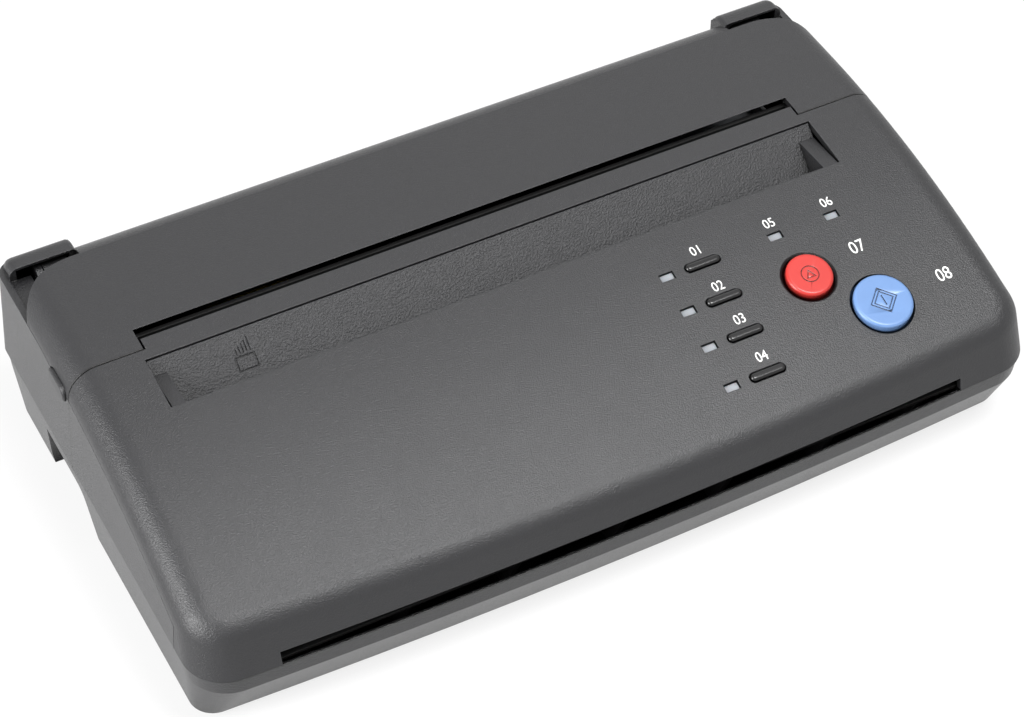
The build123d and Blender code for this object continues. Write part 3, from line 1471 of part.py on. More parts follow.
shaft_end_x = outer_gear_x + gear_face + 0.6
save("platen_shaft", make_shaft(platen_y, platen_z, shaft_end_x))
save("platen_rubber", make_platen_rubber())
save("feed_shaft", make_shaft(feed_y, feed_z, gear_x + gear_face + 0.3))
save("feed_sleeves", *make_rings(feed_radius, shaft_radius, sleeve_x, sleeve_length, feed_y, feed_z))
save("exit_shaft", make_shaft(exit_y, exit_z, shaft_end_x))
ring_centers = [path_x + offset for offset in ring_offsets]
save("exit_rings", *make_rings(exit_radius, shaft_radius, ring_centers, ring_length, exit_y, exit_z))
save("pinch_roller", make_pinch_roller(ring_centers))
save("backing_roller", make_backing_roller())

save("print_head", make_head())
save("head_heat_sink", make_heat_sink())
save("head_carrier", make_carrier())
save("head_springs", *make_head_springs())

save("drive_motor", make_motor())
motor_shaft_x = (right_plate_x - motor_length + 9, gear_x + gear_face + 0.6)
save("motor_shaft", rod_x(motor_shaft_radius, *motor_shaft_x, *motor_at))
save("motor_screws", *make_motor_screws())
save("power_board", make_board(power_board_x, boards_y, power_spacers), *make_power_parts())
save("main_board", make_board(main_board_x, boards_y, main_spacers), *make_main_parts())
save("mains_inlet", make_inlet())
save("power_switch_body", make_switch_body())
save("power_switch_rocker", make_rocker())
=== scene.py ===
import json
import math

import bmesh
import bpy
from mathutils import Matrix, Vector
from mathutils.bvhtree import BVHTree

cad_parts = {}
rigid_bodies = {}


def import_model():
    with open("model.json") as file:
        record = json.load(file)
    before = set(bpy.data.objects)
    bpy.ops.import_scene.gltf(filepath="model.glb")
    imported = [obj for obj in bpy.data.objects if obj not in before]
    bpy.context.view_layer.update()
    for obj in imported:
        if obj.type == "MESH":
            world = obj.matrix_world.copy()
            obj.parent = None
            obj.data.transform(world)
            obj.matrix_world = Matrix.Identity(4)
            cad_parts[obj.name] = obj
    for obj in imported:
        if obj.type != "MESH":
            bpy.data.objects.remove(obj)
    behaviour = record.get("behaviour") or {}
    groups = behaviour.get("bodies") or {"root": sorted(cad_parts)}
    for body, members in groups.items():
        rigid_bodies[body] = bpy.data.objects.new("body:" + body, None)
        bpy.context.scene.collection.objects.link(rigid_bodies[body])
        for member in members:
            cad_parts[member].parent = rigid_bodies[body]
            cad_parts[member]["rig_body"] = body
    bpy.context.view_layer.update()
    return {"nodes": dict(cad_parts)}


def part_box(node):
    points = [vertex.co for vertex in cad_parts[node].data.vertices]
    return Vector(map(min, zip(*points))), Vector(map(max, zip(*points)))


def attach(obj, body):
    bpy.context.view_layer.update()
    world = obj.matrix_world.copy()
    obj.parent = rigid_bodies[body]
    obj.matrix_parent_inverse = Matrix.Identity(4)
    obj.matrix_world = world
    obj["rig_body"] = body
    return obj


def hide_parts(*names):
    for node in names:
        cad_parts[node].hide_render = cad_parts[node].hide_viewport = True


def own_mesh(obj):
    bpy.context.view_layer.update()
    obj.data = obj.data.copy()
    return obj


bl_info = {
    "name": "Desktop stencil copier looks",
    "version": (1, 0, 0),
    "blender": (4, 5, 0),
    "location": "3D View > Sidebar > Copier",
    "description": "Finishes, printed numbers, engraved signs, screws and stage of a stencil copier",
    "category": "Object",
}

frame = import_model()
nodes = frame["nodes"]

MM = 0.001

# The casing's shape, as the CAD has it
TOP_RADIUS = 300 * MM                   # side view radius of the front cover's top
TOP_HEIGHT = 66.95 * MM
TOP_FLAT_Y = 42.46 * MM                 # the top is level behind this line
PANEL_Y = -36.84 * MM                   # the round buttons stand square to the panel's slope here
PANEL_TILT = math.asin((TOP_FLAT_Y - PANEL_Y) / TOP_RADIUS)
RAMP_ANGLE = math.radians(40)
STOP_Y = -38.34 * MM
COPY_Y = -54.44 * MM
PARTING_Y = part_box("rear_cover")[0].y   # front edge of the rear cover beside the slot
SEAM_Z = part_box("base_pan")[1].z        # top of the base's rim, just under the upper casing
SLOT_X = -2.1 * MM                      # middle of the slot and the ramp
SLOT_HALF = 112.3 * MM                  # half the slot's length
SEAM_SHADE = 0.45 * MM                  # reach of the painted shade along a seam
HEAD_RADIUS = 2.8 * MM                  # casing screws
HEAD_HEIGHT = 2.0 * MM
SHANK_RADIUS = 1.5 * MM
RECESS_SIZE = (3.2 * MM, 0.8 * MM, 2.2 * MM)   # one blade of the cross recess, half of it in the head
CROWN_SCALE = 0.72                      # how far the head's crown draws in
TIP_SCALE = 0.96                        # how far the shank's end draws in

# The sheet sign on the ramp: a sheet's outline and lines that rise behind it
RAMP_SIGN_AT = (-87.1 * MM, 7.8 * MM)
SHEET_HALF = 3.3 * MM
SHEET_LOW = -5.0 * MM
SHEET_HIGH = -0.4 * MM
RISING_LINES = 5
RISING_PITCH = 1.1 * MM
RISING_FOOT = 0.4 * MM
FIRST_RISING_TOP = 1.8 * MM
RISING_STEP = 0.7 * MM

# The signs on the round buttons
STOP_RING = 2.95 * MM
STOP_TRIANGLE = [(-1.7 * MM, -1.35 * MM), (1.7 * MM, -1.35 * MM), (0, 1.7 * MM)]
DIAMOND_OUTER = 4.8 * MM
DIAMOND_INNER = 3.5 * MM
COPY_BAR_HALF = 1.8 * MM
ABOVE_BUTTON = 20 * MM                  # a button's crown is looked for from this far above the panel
CUTTER_ABOVE = 2 * MM                   # how far the engraving cutter stands out of a surface

# Components of the boards are told apart by their shape, and have these places in a board's material list
PLATE, CHIP, CAN, TRANSFORMER = range(4)
CAN_SLENDER = 0.6                       # least height of a capacitor's can against its width
CAN_ROUND = 0.2 * MM                    # how far a can's two widths may differ
TRANSFORMER_HEIGHT = 10 * MM            # what is taller than this and no can is wound and taped

# Stage
FLOOR_REACH = 6.0
FLOOR_GLOW = 0.8                        # share of plain white that the floor shows to the camera
SURROUND_LEVEL = 0.05                   # strength of the surround where it lights the machine
CAMERA_TURN = (27.877, 45.716, -0.105)  # yaw, pitch and roll in degrees
CAMERA_PLACE = (-0.290725, -0.545461, 0.659776)
CAMERA_SHIFT = (0.00034, -0.00569)
CAMERA_LENS = 100
# name, place, aim, size (m) and power (W) of each soft box
SOFT_BOXES = (
    ("soft_box_key", (0.22, -0.40, 1.15), (0, 0, 0.03), (0.5, 0.45), 17.0),
    ("soft_box_above", (0.20, -0.15, 1.45), (0, 0, 0.03), (1.0, 0.8), 2.6),
    ("soft_box_left", (-1.25, -0.15, 0.50), (0, 0, 0.03), (0.8, 0.6), 29.0),
    ("soft_box_rear", (0.55, 1.00, 1.20), (0, 0, 0.03), (1.2, 0.8), 2.3),
)

DIGIT_SHARE = 0.7                       # height of a digit against its font's size
DIGIT_WIDTH = 0.85                      # width of a printed digit against the font's
INK_HEIGHT = 0.04 * MM                  # how far the ink stands out of the panel
# Middle of each printed number, in millimetres, and its height against the small ones
NUMBERS_AT = {
    "01": (52.3, -17.0, 1.0), "02": (52.1, -30.8, 1.0), "03": (52.6, -43.1, 1.0), "04": (52.7, -56.2, 1.0),
    "05": (78.3, -17.0, 1.0), "06": (99.0, -17.0, 1.0), "07": (99.4, -34.9, 1.3), "08": (119.9, -53.0, 1.3),
}


# ------------------------------------------------------------------ small tools
def linear(hex_colour):
    """An sRGB hex colour such as 3c3c40 as linear red, green and blue."""
    values = [int(hex_colour[i:i + 2], 16) / 255 for i in (0, 2, 4)]
    return tuple(v / 12.92 if v <= 0.04045 else ((v + 0.055) / 1.055) ** 2.4 for v in values)


def add_node(tree, kind, settings=None, inputs=None):
    """Adds a node. settings are its properties, inputs its sockets' values or the sockets that feed them."""
    node = tree.nodes.new(kind)
    for name, value in (settings or {}).items():
        setattr(node, name, value)
    for name, value in (inputs or {}).items():
        if isinstance(value, bpy.types.NodeSocket):
            tree.links.new(value, node.inputs[name])
        else:
            node.inputs[name].default_value = value
    return node


def give(material, *node_names):
    """Puts a material on CAD nodes."""
    for name in node_names:
        nodes[name].data.materials[0] = material


def add_piece(name, mesh, like_node):
    """A finished piece, its place in its mesh, on the body of a CAD node."""
    piece = bpy.data.objects.new(name, mesh)
    bpy.context.scene.collection.objects.link(piece)
    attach(piece, nodes[like_node]["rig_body"])
    return piece


def welded(node_name):
    """A welded copy of a CAD node's mesh."""
    mesh = nodes[node_name].data.copy()
    shape = bmesh.new()
    shape.from_mesh(mesh)
    bmesh.ops.remove_doubles(shape, verts=shape.verts, dist=0.001 * MM)
    shape.to_mesh(mesh)
    shape.free()
    return mesh


def smooth(mesh, degrees=32):
    """Smooth shading between faces that meet at a small angle, in which large faces keep flat."""
    mesh.shade_smooth()
    mesh.set_sharp_from_angle(angle=math.radians(degrees))
    obj = working_object("shading", mesh)
    weighted = obj.modifiers.new("Weighted normals", "WEIGHTED_NORMAL")
    weighted.keep_sharp = True
    return finished(obj)


def finished(obj):
    """The object's mesh with its modifiers applied. The working object is removed."""
    depsgraph = bpy.context.evaluated_depsgraph_get()
    mesh = bpy.data.meshes.new_from_object(obj.evaluated_get(depsgraph), depsgraph=depsgraph)
    bpy.data.objects.remove(obj)
    return mesh


def working_object(name, mesh):
    obj = bpy.data.objects.new(name, mesh)
    bpy.context.scene.collection.objects.link(obj)
    return obj


def surface_point(node_name, start, direction):
    """Where a straight line meets a CAD node."""
    tree = BVHTree.FromObject(nodes[node_name], bpy.context.evaluated_depsgraph_get())
    hit = tree.ray_cast(Vector(start), Vector(direction))
    if hit[0] is None:
        raise RuntimeError(f"no surface of {node_name} is met")
    return hit[0]


def top_height(y):
    """Height of the front cover's top at depth y."""
    return TOP_HEIGHT - TOP_RADIUS + math.sqrt(TOP_RADIUS ** 2 - (TOP_FLAT_Y - y) ** 2)


def tilted_plane(point, tilt):
    """Matrix of a plane through a point, its X along the machine and its Y up a slope towards the rear."""
    return Matrix.Translation(point) @ Matrix.Rotation(tilt, 4, "X")


def islands(mesh):
    """Lists of face numbers, one for each separate solid of a welded mesh, from left to right."""
    shape = bmesh.new()
    shape.from_mesh(mesh)
    shape.faces.ensure_lookup_table()
    seen, found = set(), []
    for face in shape.faces:
        if face.index in seen:
            continue
        group, queue = [], [face]
        seen.add(face.index)
        while queue:
            here = queue.pop()
            group.append(here.index)
            for edge in here.edges:
                for other in edge.link_faces:
                    if other.index not in seen:
                        seen.add(other.index)
                        queue.append(other)
        points = [v.co.copy() for i in group for v in shape.faces[i].verts]
        low = Vector(min(p[k] for p in points) for k in range(3))
        high = Vector(max(p[k] for p in points) for k in range(3))
        found.append((group, low, high))
    shape.free()
    return sorted(found, key=lambda item: (item[1].x, item[1].y))


# ------------------------------------------------------------------ settings
class CopierLooks(bpy.types.PropertyGroup):
    """Sizes and colours of the copier's finishes."""

    casing_colour: bpy.props.FloatVectorProperty(
        name="Casing colour", description="Colour of the moulded charcoal casing", subtype="COLOR", size=3,
        min=0, max=1, default=linear("1f1f21"))
    casing_grain: bpy.props.FloatProperty(
        name="Casing grain", description="Width of one grain of the casing's spark-eroded surface",
        subtype="DISTANCE", unit="LENGTH", min=0.1 * MM, max=3 * MM, default=0.42 * MM)
    ramp_grain: bpy.props.FloatProperty(
        name="Ramp grain", description="Width of one grain of the ramp's coarse surface",
        subtype="DISTANCE", unit="LENGTH", min=0.1 * MM, max=3 * MM, default=0.55 * MM)
    edge_round: bpy.props.FloatProperty(
        name="Edge rounding", description="Radius to which moulded edges look rounded",
        subtype="DISTANCE", unit="LENGTH", min=0, max=2 * MM, default=0.4 * MM)
    stop_colour: bpy.props.FloatVectorProperty(
        name="Stop colour", description="Colour of the stop button", subtype="COLOR", size=3, min=0, max=1,
        default=linear("b82f29"))
    copy_colour: bpy.props.FloatVectorProperty(
        name="Copy colour", description="Colour of the copy button", subtype="COLOR", size=3, min=0, max=1,
        default=linear("6586b6"))
    ink_colour: bpy.props.FloatVectorProperty(
        name="Ink colour", description="Colour of the printed numbers", subtype="COLOR", size=3, min=0, max=1,
        default=linear("f4f4f2"))
    number_height: bpy.props.FloatProperty(
        name="Number height", description="Height of a small printed number",
        subtype="DISTANCE", unit="LENGTH", min=1 * MM, max=10 * MM, default=3.3 * MM)
    symbol_line: bpy.props.FloatProperty(
        name="Symbol line", description="Width of an engraved line",
        subtype="DISTANCE", unit="LENGTH", min=0.1 * MM, max=1 * MM, default=0.36 * MM)
    symbol_depth: bpy.props.FloatProperty(
        name="Symbol depth", description="Depth of an engraved line",
        subtype="DISTANCE", unit="LENGTH", min=0.05 * MM, max=1 * MM, default=0.3 * MM)
    thread_pitch: bpy.props.FloatProperty(
        name="Thread pitch", description="Pitch of the casing screws' thread",
        subtype="DISTANCE", unit="LENGTH", min=0.4 * MM, max=3 * MM, default=1.25 * MM)
    thread_depth: bpy.props.FloatProperty(
        name="Thread depth", description="Height of the thread's ridge",
        subtype="DISTANCE", unit="LENGTH", min=0.05 * MM, max=0.6 * MM, default=0.22 * MM)
    floor_colour: bpy.props.FloatVectorProperty(
        name="Floor colour", description="Colour of the plain floor", subtype="COLOR", size=3, min=0, max=1,
        default=linear("f2f2f2"))
    light_level: bpy.props.FloatProperty(
        name="Light level", description="Brightness of the soft boxes against their plain level",
        subtype="FACTOR", min=0, max=3, default=1.0)


# ------------------------------------------------------------------ materials
# Grain, frost, rubber's tooth and the marks of tools and grinding are mostly finer than 0.2 mm, which is too
# fine to show in a render of the whole machine. They are drawn coarser, 0.3 to 1.2 mm wide, so as to show.
def new_material(name):
    """An empty material, its node tree, its Object coordinates and its output."""
    material = bpy.data.materials.new(name)
    material.use_nodes = True
    tree = material.node_tree
    tree.nodes.clear()
    place = add_node(tree, "ShaderNodeTexCoord").outputs["Object"]
    output = add_node(tree, "ShaderNodeOutputMaterial")
    return material, tree, place, output


def shade(tree, output, rough, inputs):
    """The Principled shader of a material. Its roughness is a number, or a pattern with its low and high."""
    if isinstance(rough, tuple):
        pattern, low, high = rough
        span = add_node(tree, "ShaderNodeMapRange", None, {"Value": pattern, "To Min": low, "To Max": high})
        rough = span.outputs["Result"]
    shader = add_node(tree, "ShaderNodeBsdfPrincipled", None, {"Roughness": rough, **inputs})
    tree.links.new(shader.outputs["BSDF"], output.inputs["Surface"])


def two_tone(tree, factor, colour, contrast):
    """A colour that a pattern takes a little darker and lighter."""
    mix = add_node(tree, "ShaderNodeMix", {"data_type": "RGBA"}, {"Factor": factor})
    colour_sockets = [s for s in mix.inputs if s.type == "RGBA"]
    colour_sockets[0].default_value = (*[c * (1 - contrast) for c in colour], 1)
    colour_sockets[1].default_value = (*[min(1, c * (1 + contrast)) for c in colour], 1)
    return [s for s in mix.outputs if s.type == "RGBA"][0]


def noise(tree, place, width, detail=2.0, stretch=None):
    """A cloudy pattern whose lumps are about width across, drawn out along an axis by stretch."""
    if stretch:
        mapping = add_node(tree, "ShaderNodeMapping", None, {"Vector": place, "Scale": stretch})
        place = mapping.outputs["Vector"]
    cloud = add_node(tree, "ShaderNodeTexNoise", None, {
        "Vector": place, "Scale": 1 / width, "Detail": detail})
    return cloud.outputs["Fac"]


def bumped(tree, height, depth, edge=0.0):
    """A normal that follows a height pattern, over edges that look rounded to a radius."""
    inputs = {"Height": height, "Distance": depth}
    if edge:
        rounded = add_node(tree, "ShaderNodeBevel", {"samples": 6}, {"Radius": edge})
        inputs["Normal"] = rounded.outputs["Normal"]
    return add_node(tree, "ShaderNodeBump", None, inputs).outputs["Normal"]


def painted_gap_shade(tree, colour, reach):
    """A colour painted dark deep in gaps: painted shade, taken from how closed in each point is."""
    open_sky = add_node(tree, "ShaderNodeAmbientOcclusion", {"samples": 6}, {"Distance": reach})
    share = add_node(tree, "ShaderNodeMapRange", None, {
        "Value": open_sky.outputs["AO"], "From Min": 0.42, "From Max": 0.78, "To Min": 0.04, "To Max": 1.0})
    return multiplied(tree, colour, share.outputs["Result"])


def multiplied(tree, colour, share):
    """A colour times a number."""
    mix = add_node(tree, "ShaderNodeMix", {"data_type": "RGBA", "blend_type": "MULTIPLY"}, {"Factor": 1.0})
    sockets = [s for s in mix.inputs if s.type == "RGBA"]
    tree.links.new(colour, sockets[0])
    tree.links.new(share, sockets[1])
    return [s for s in mix.outputs if s.type == "RGBA"][0]


def painted_edge_highlight(tree, colour, edge, gain):
    """A colour painted paler along edges, where the rounded normal turns from the face's: a painted
    highlight.
    """
    rounded = add_node(tree, "ShaderNodeBevel", {"samples": 4}, {"Radius": edge})
    flat = add_node(tree, "ShaderNodeNewGeometry")
    turn = add_node(tree, "ShaderNodeVectorMath", {"operation": "DOT_PRODUCT"}, {
        0: rounded.outputs["Normal"], 1: flat.outputs["Normal"]})
    lit_share = add_node(tree, "ShaderNodeMapRange", None, {
        "Value": turn.outputs["Value"], "From Min": 0.8, "From Max": 0.97, "To Min": gain, "To Max": 1.0})
    return multiplied(tree, colour, lit_share.outputs["Result"])


def painted_seam_shade(tree, place, colour):
    """A colour with a line of painted shade along the casing's two seams. The seam in front of the rear cover
    stops at the paper slot."""
    spot = add_node(tree, "ShaderNodeSeparateXYZ", None, {"Vector": place}).outputs
    near = {}
    for axis, middle, reach in (
            ("Z", SEAM_Z, SEAM_SHADE), ("Y", PARTING_Y, SEAM_SHADE), ("X", SLOT_X, SLOT_HALF)):
        near[axis] = add_node(tree, "ShaderNodeMath", {"operation": "COMPARE"}, {
            0: spot[axis], 1: middle, 2: reach}).outputs[0]
    beside_slot = add_node(tree, "ShaderNodeMath", {"operation": "SUBTRACT", "use_clamp": True}, {
        0: near["Y"], 1: near["X"]})
    either = add_node(tree, "ShaderNodeMath", {"operation": "MAXIMUM"}, {
        0: near["Z"], 1: beside_slot.outputs[0]})
    share = add_node(tree, "ShaderNodeMapRange", None, {
        "Value": either.outputs[0], "To Min": 1.0, "To Max": 0.12})
    return multiplied(tree, colour, share.outputs["Result"])


def spark_eroded_abs(name, colour, grain, depth, roughness, edge, contrast=0.16):
    """ABS moulded in a spark-eroded tool: the fine pits scatter the light, so that the charcoal looks satin
    and glitters a little where a soft box is mirrored. Edges carry a painted highlight, a thin pale line, and
    gaps and seams carry painted shade. The pits, grain wide, are drawn coarser than the real ones so that
    they show."""
    material, tree, place, output = new_material(name)
    cloud = noise(tree, place, grain, 3.0)
    pits = add_node(tree, "ShaderNodeMapRange", None, {
        "Value": cloud, "From Min": 0.3, "From Max": 0.7}).outputs["Result"]
    flow = noise(tree, place, 28 * MM, 2.0)
    # painted highlight: the edges are painted paler
    skin = painted_edge_highlight(tree, two_tone(tree, pits, colour, contrast), edge, 2.4)
    shade(tree, output, (flow, roughness - 0.03, roughness + 0.03), {
        # painted shade deep in gaps and along the seams
        "Base Color": painted_seam_shade(tree, place, painted_gap_shade(tree, skin, 11 * MM)),
        "Specular IOR Level": 0.5,
        "Normal": bumped(tree, pits, depth, edge),
    })
    return material


def polished_abs(name, colour, roughness, edge):
    """Polished ABS of keys and buttons: a clear highlight that the faint flow of the moulding bends, and
    painted shade that darkens the colour next to gaps.
    """
    material, tree, place, output = new_material(name)
    flow = noise(tree, place, 5 * MM, 1.0)
    handling = noise(tree, place, 0.6 * MM, 3.0)
    shade(tree, output, (handling, roughness * 0.85, roughness * 1.2), {
        # painted shade next to gaps
        "Base Color": painted_gap_shade(tree, two_tone(tree, flow, colour, 0.05), 3 * MM),
        "Normal": bumped(tree, flow, 0.01 * MM, edge),
    })
    return material


def frosted_polycarbonate(name, colour):
    """Frosted polycarbonate light guides: milky grey while unlit, with painted shade along the rim of the
    lens.
    """
    material, tree, place, output = new_material(name)
    frost = noise(tree, place, 0.3 * MM, 3.0)
    shade(tree, output, (frost, 0.3, 0.42), {
        # painted shade along the rim of the lens
        "Base Color": painted_gap_shade(tree, two_tone(tree, frost, colour, 0.06), 1.6 * MM),
        "Subsurface Weight": 0.15,
        "Subsurface Scale": 1.0 * MM,
        "IOR": 1.58,
        "Normal": bumped(tree, frost, 0.02 * MM, 0.2 * MM),
    })
    return material


def pad_printed_ink(name, colour):
    """Pad-printed ink: a thin matt film whose edge is a little ragged over the grain."""
    material, tree, place, output = new_material(name)
    film = noise(tree, place, 0.35 * MM, 2.0)
    shade(tree, output, (film, 0.5, 0.62), {
        "Base Color": two_tone(tree, film, colour, 0.04),
        "Normal": bumped(tree, film, 0.02 * MM),
    })
    return material


def moulded_rubber(name, colour, grain, roughness):
    """Moulded rubber: matt, with a fine tooth that takes all sharpness from its highlights."""
    material, tree, place, output = new_material(name)
    tooth = noise(tree, place, grain, 3.0)
    shade(tree, output, (tooth, roughness - 0.06, roughness + 0.06), {
        "Base Color": two_tone(tree, tooth, colour, 0.14),
        "IOR": 1.52,
        "Normal": bumped(tree, tooth, 0.08 * MM, 0.3 * MM),
    })
    return material


def ground_rubber(name, colour):
    """Silicone rubber ground on its shaft: fine rings round the roller that dull it evenly."""
    material, tree, place, output = new_material(name)
    rings = noise(tree, place, 0.35 * MM, 2.0, stretch=(1.0, 0.03, 0.03))
    shade(tree, output, (rings, 0.58, 0.7), {
        "Base Color": two_tone(tree, rings, colour, 0.08),
        "IOR": 1.43,
        "Normal": bumped(tree, rings, 0.03 * MM, 0.2 * MM),
    })
    return material


def turned_steel(name, colour, roughness):
    """Turned and ground steel: bright metal with fine rings that spread the highlight along the shaft."""
    material, tree, place, output = new_material(name)
    rings = noise(tree, place, 0.3 * MM, 2.0, stretch=(1.0, 0.02, 0.02))
    shade(tree, output, (rings, roughness - 0.05, roughness + 0.08), {
        "Base Color": two_tone(tree, rings, colour, 0.06),
        "Metallic": 1.0,
        "Normal": bumped(tree, rings, 0.01 * MM, 0.2 * MM),
    })
    return material


def zinc_plate(name, colour, roughness, spangle):
    """Zinc-plated steel: a bright grey skin whose crystals differ a little in brightness."""
    material, tree, place, output = new_material(name)
    crystals = add_node(tree, "ShaderNodeTexVoronoi", None, {"Vector": place, "Scale": 1 / spangle})
    tone = add_node(tree, "ShaderNodeRGBToBW", None, {"Color": crystals.outputs["Color"]}).outputs["Val"]
    fine = noise(tree, place, 0.5 * MM, 3.0)
    shade(tree, output, (tone, roughness - 0.05, roughness + 0.07), {
        "Base Color": two_tone(tree, tone, colour, 0.07),
        "Metallic": 1.0,
        "Normal": bumped(tree, fine, 0.012 * MM, 0.25 * MM),
    })
    return material


def extruded_aluminium(name, colour):
    """Extruded aluminium: straight die lines along the profile draw the light out across it."""
    material, tree, place, output = new_material(name)
    lines = noise(tree, place, 0.4 * MM, 3.0, stretch=(0.01, 1.0, 1.0))
    shade(tree, output, (lines, 0.3, 0.45), {
        "Base Color": two_tone(tree, lines, colour, 0.06),
        "Metallic": 1.0,
        "Normal": bumped(tree, lines, 0.02 * MM, 0.2 * MM),
    })
    return material


def moulded_acetal(name, colour):
    """Moulded acetal gears and bushes: waxy off-white with a soft edge to every shadow."""
    material, tree, place, output = new_material(name)
    flow = noise(tree, place, 6 * MM, 2.0)
    shade(tree, output, (flow, 0.32, 0.42), {
        "Base Color": two_tone(tree, flow, colour, 0.03),
        "Subsurface Weight": 0.1,
        "Subsurface Scale": 1.0 * MM,
        "IOR": 1.48,
        "Normal": bumped(tree, noise(tree, place, 0.5 * MM), 0.01 * MM, 0.15 * MM),
    })
    return material


def solder_mask(name, colour):
    """Fibreglass board under solder mask: copper tracks are paler green bands under the glossy lacquer."""
    material, tree, place, output = new_material(name)
    tracks = add_node(tree, "ShaderNodeTexVoronoi", {"distance": "MANHATTAN", "feature": "F2"},
                      {"Vector": place, "Scale": 1 / (5 * MM)}).outputs["Distance"]
    bands = add_node(tree, "ShaderNodeMath", {"operation": "PINGPONG"}, {0: tracks, 1: 0.09}).outputs[0]
    copper = add_node(tree, "ShaderNodeMapRange", None,
                      {"Value": bands, "From Min": 0.04, "From Max": 0.05}).outputs["Result"]
    shade(tree, output, 0.3, {
        "Base Color": two_tone(tree, copper, colour, 0.35),
        "Coat Weight": 0.4,
        "Normal": bumped(tree, copper, 0.03 * MM, 0.15 * MM),
    })
    return material


def float_glass(name, colour):
    """Float glass over the sensor: clear, faintly green in its depth, with a trace of dust."""
    material, tree, place, output = new_material(name)
    dust = noise(tree, place, 1.2 * MM, 4.0)
    shade(tree, output, (dust, 0.01, 0.07), {
        "Base Color": two_tone(tree, dust, colour, 0.02),
        "Transmission Weight": 0.9,
        "IOR": 1.52,
    })
    return material


def fired_glaze(name, colour):
    """Fired glass glaze on the heater strip's ceramic: creamy, smooth and glossy over a grainy body."""
    material, tree, place, output = new_material(name)
    body = noise(tree, place, 0.4 * MM, 3.0)
    shade(tree, output, 0.16, {
        "Base Color": two_tone(tree, body, colour, 0.05),
        "IOR": 1.5,
        "Normal": bumped(tree, body, 0.006 * MM, 0.2 * MM),
    })
    return material


# ------------------------------------------------------------------ engraving
def ring_outline(outer, inner, sides):
    """A round line: its outer and inner loops."""
    loops = []
    for radius in (outer, inner):
        loops.append([(radius * math.cos(math.tau * i / sides), radius * math.sin(math.tau * i / sides))
                      for i in range(sides)])
    return loops


def closed_line(corners, width):
    """A line of a width round a convex outline: its outer loop and the loop inside it."""
    count = len(corners)
    inner = []
    for i in range(count):
        before, here, after = Vector(corners[i - 1]), Vector(corners[i]), Vector(corners[(i + 1) % count])
        a, b = (here - before).normalized(), (after - here).normalized()
        normal = Vector((-a.y - b.y, a.x + b.x)).normalized()
        inner.append(tuple(here + normal * width / max(0.2, normal.dot(Vector((-a.y, a.x))))))
    return [list(corners), inner]


def bar(start, end, width):
    """A straight line of a width: its one loop, turned anticlockwise."""
    start, end = Vector(start), Vector(end)
    side = (end - start).normalized() * width / 2
    side = Vector((-side.y, side.x))
    return [[tuple(start - side), tuple(end - side), tuple(end + side), tuple(start + side)]]


def engraver(lines, plane, depth, height):
    """A closed mesh of all the lines, from depth below a plane to height above it."""
    shape = bmesh.new()
    for loops in lines:
        low = [[shape.verts.new((u, v, -depth)) for u, v in loop] for loop in loops]
        high = [[shape.verts.new((u, v, height)) for u, v in loop] for loop in loops]
        count = len(loops[0])
        if len(loops) == 1:
            shape.faces.new(high[0])
            shape.faces.new(list(reversed(low[0])))
        for i in range(count):
            j = (i + 1) % count
            shape.faces.new((low[0][i], low[0][j], high[0][j], high[0][i]))
            if len(loops) == 2:
                shape.faces.new((low[1][j], low[1][i], high[1][i], high[1][j]))
                shape.faces.new((high[0][i], high[0][j], high[1][j], high[1][i]))
                shape.faces.new((low[0][j], low[0][i], low[1][i], low[1][j]))
    bmesh.ops.recalc_face_normals(shape, faces=shape.faces)
    shape.transform(plane)
    mesh = bpy.data.meshes.new("engraver")
    shape.to_mesh(mesh)
    shape.free()
    return mesh


def engraved(name, node_name, lines, plane, depth, material):
    """A copy of a CAD node with the lines cut into it, in place of the node."""
    tool = working_object("tool", engraver(lines, plane, depth, CUTTER_ABOVE))
    blank = working_object("blank", welded(node_name))
    cut = blank.modifiers.new("Engraving", "BOOLEAN")
    cut.operation = "DIFFERENCE"
    cut.solver = "EXACT"
    cut.object = tool
    mesh = smooth(finished(blank))
    bpy.data.objects.remove(tool)
    mesh.materials.clear()
    mesh.materials.append(material)
    piece = add_piece(name, mesh, node_name)
    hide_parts(node_name)
    return piece


# ------------------------------------------------------------------ operators
class COPIER_OT_casing(bpy.types.Operator):
    """Finish the casing, the paper path mouldings and the feet"""

    bl_idname = "copier.casing"
    bl_label = "Casing"

    def execute(self, context):
        looks = context.scene.copier_looks
        colour = tuple(looks.casing_colour)
        grain, edge, depth = looks.casing_grain, looks.edge_round, 0.08 * MM
        casing = spark_eroded_abs("abs_fine_spark_eroded", colour, grain, depth, 0.4, edge)
        pan = spark_eroded_abs("abs_base_spark_eroded", colour, grain, depth, 0.3, edge)
        # near black inner mouldings: painted shade that makes the paper slots look dark
        inner = spark_eroded_abs("abs_inner_black", linear("0c0c0d"), 1.2 * MM, 0.02 * MM, 0.6, 0.2 * MM)
        give(pan, "base_pan", "upper_frame")
        give(casing, "rear_cover", "front_cover", "release_tab_right", "release_tab_left")
        give(inner, "lower_paper_guide", "stencil_chute", "pad_holder")
        give(moulded_rubber("rubber_moulded_foot", linear("202021"), 0.5 * MM, 0.75), "rubber_feet")
        return {"FINISHED"}


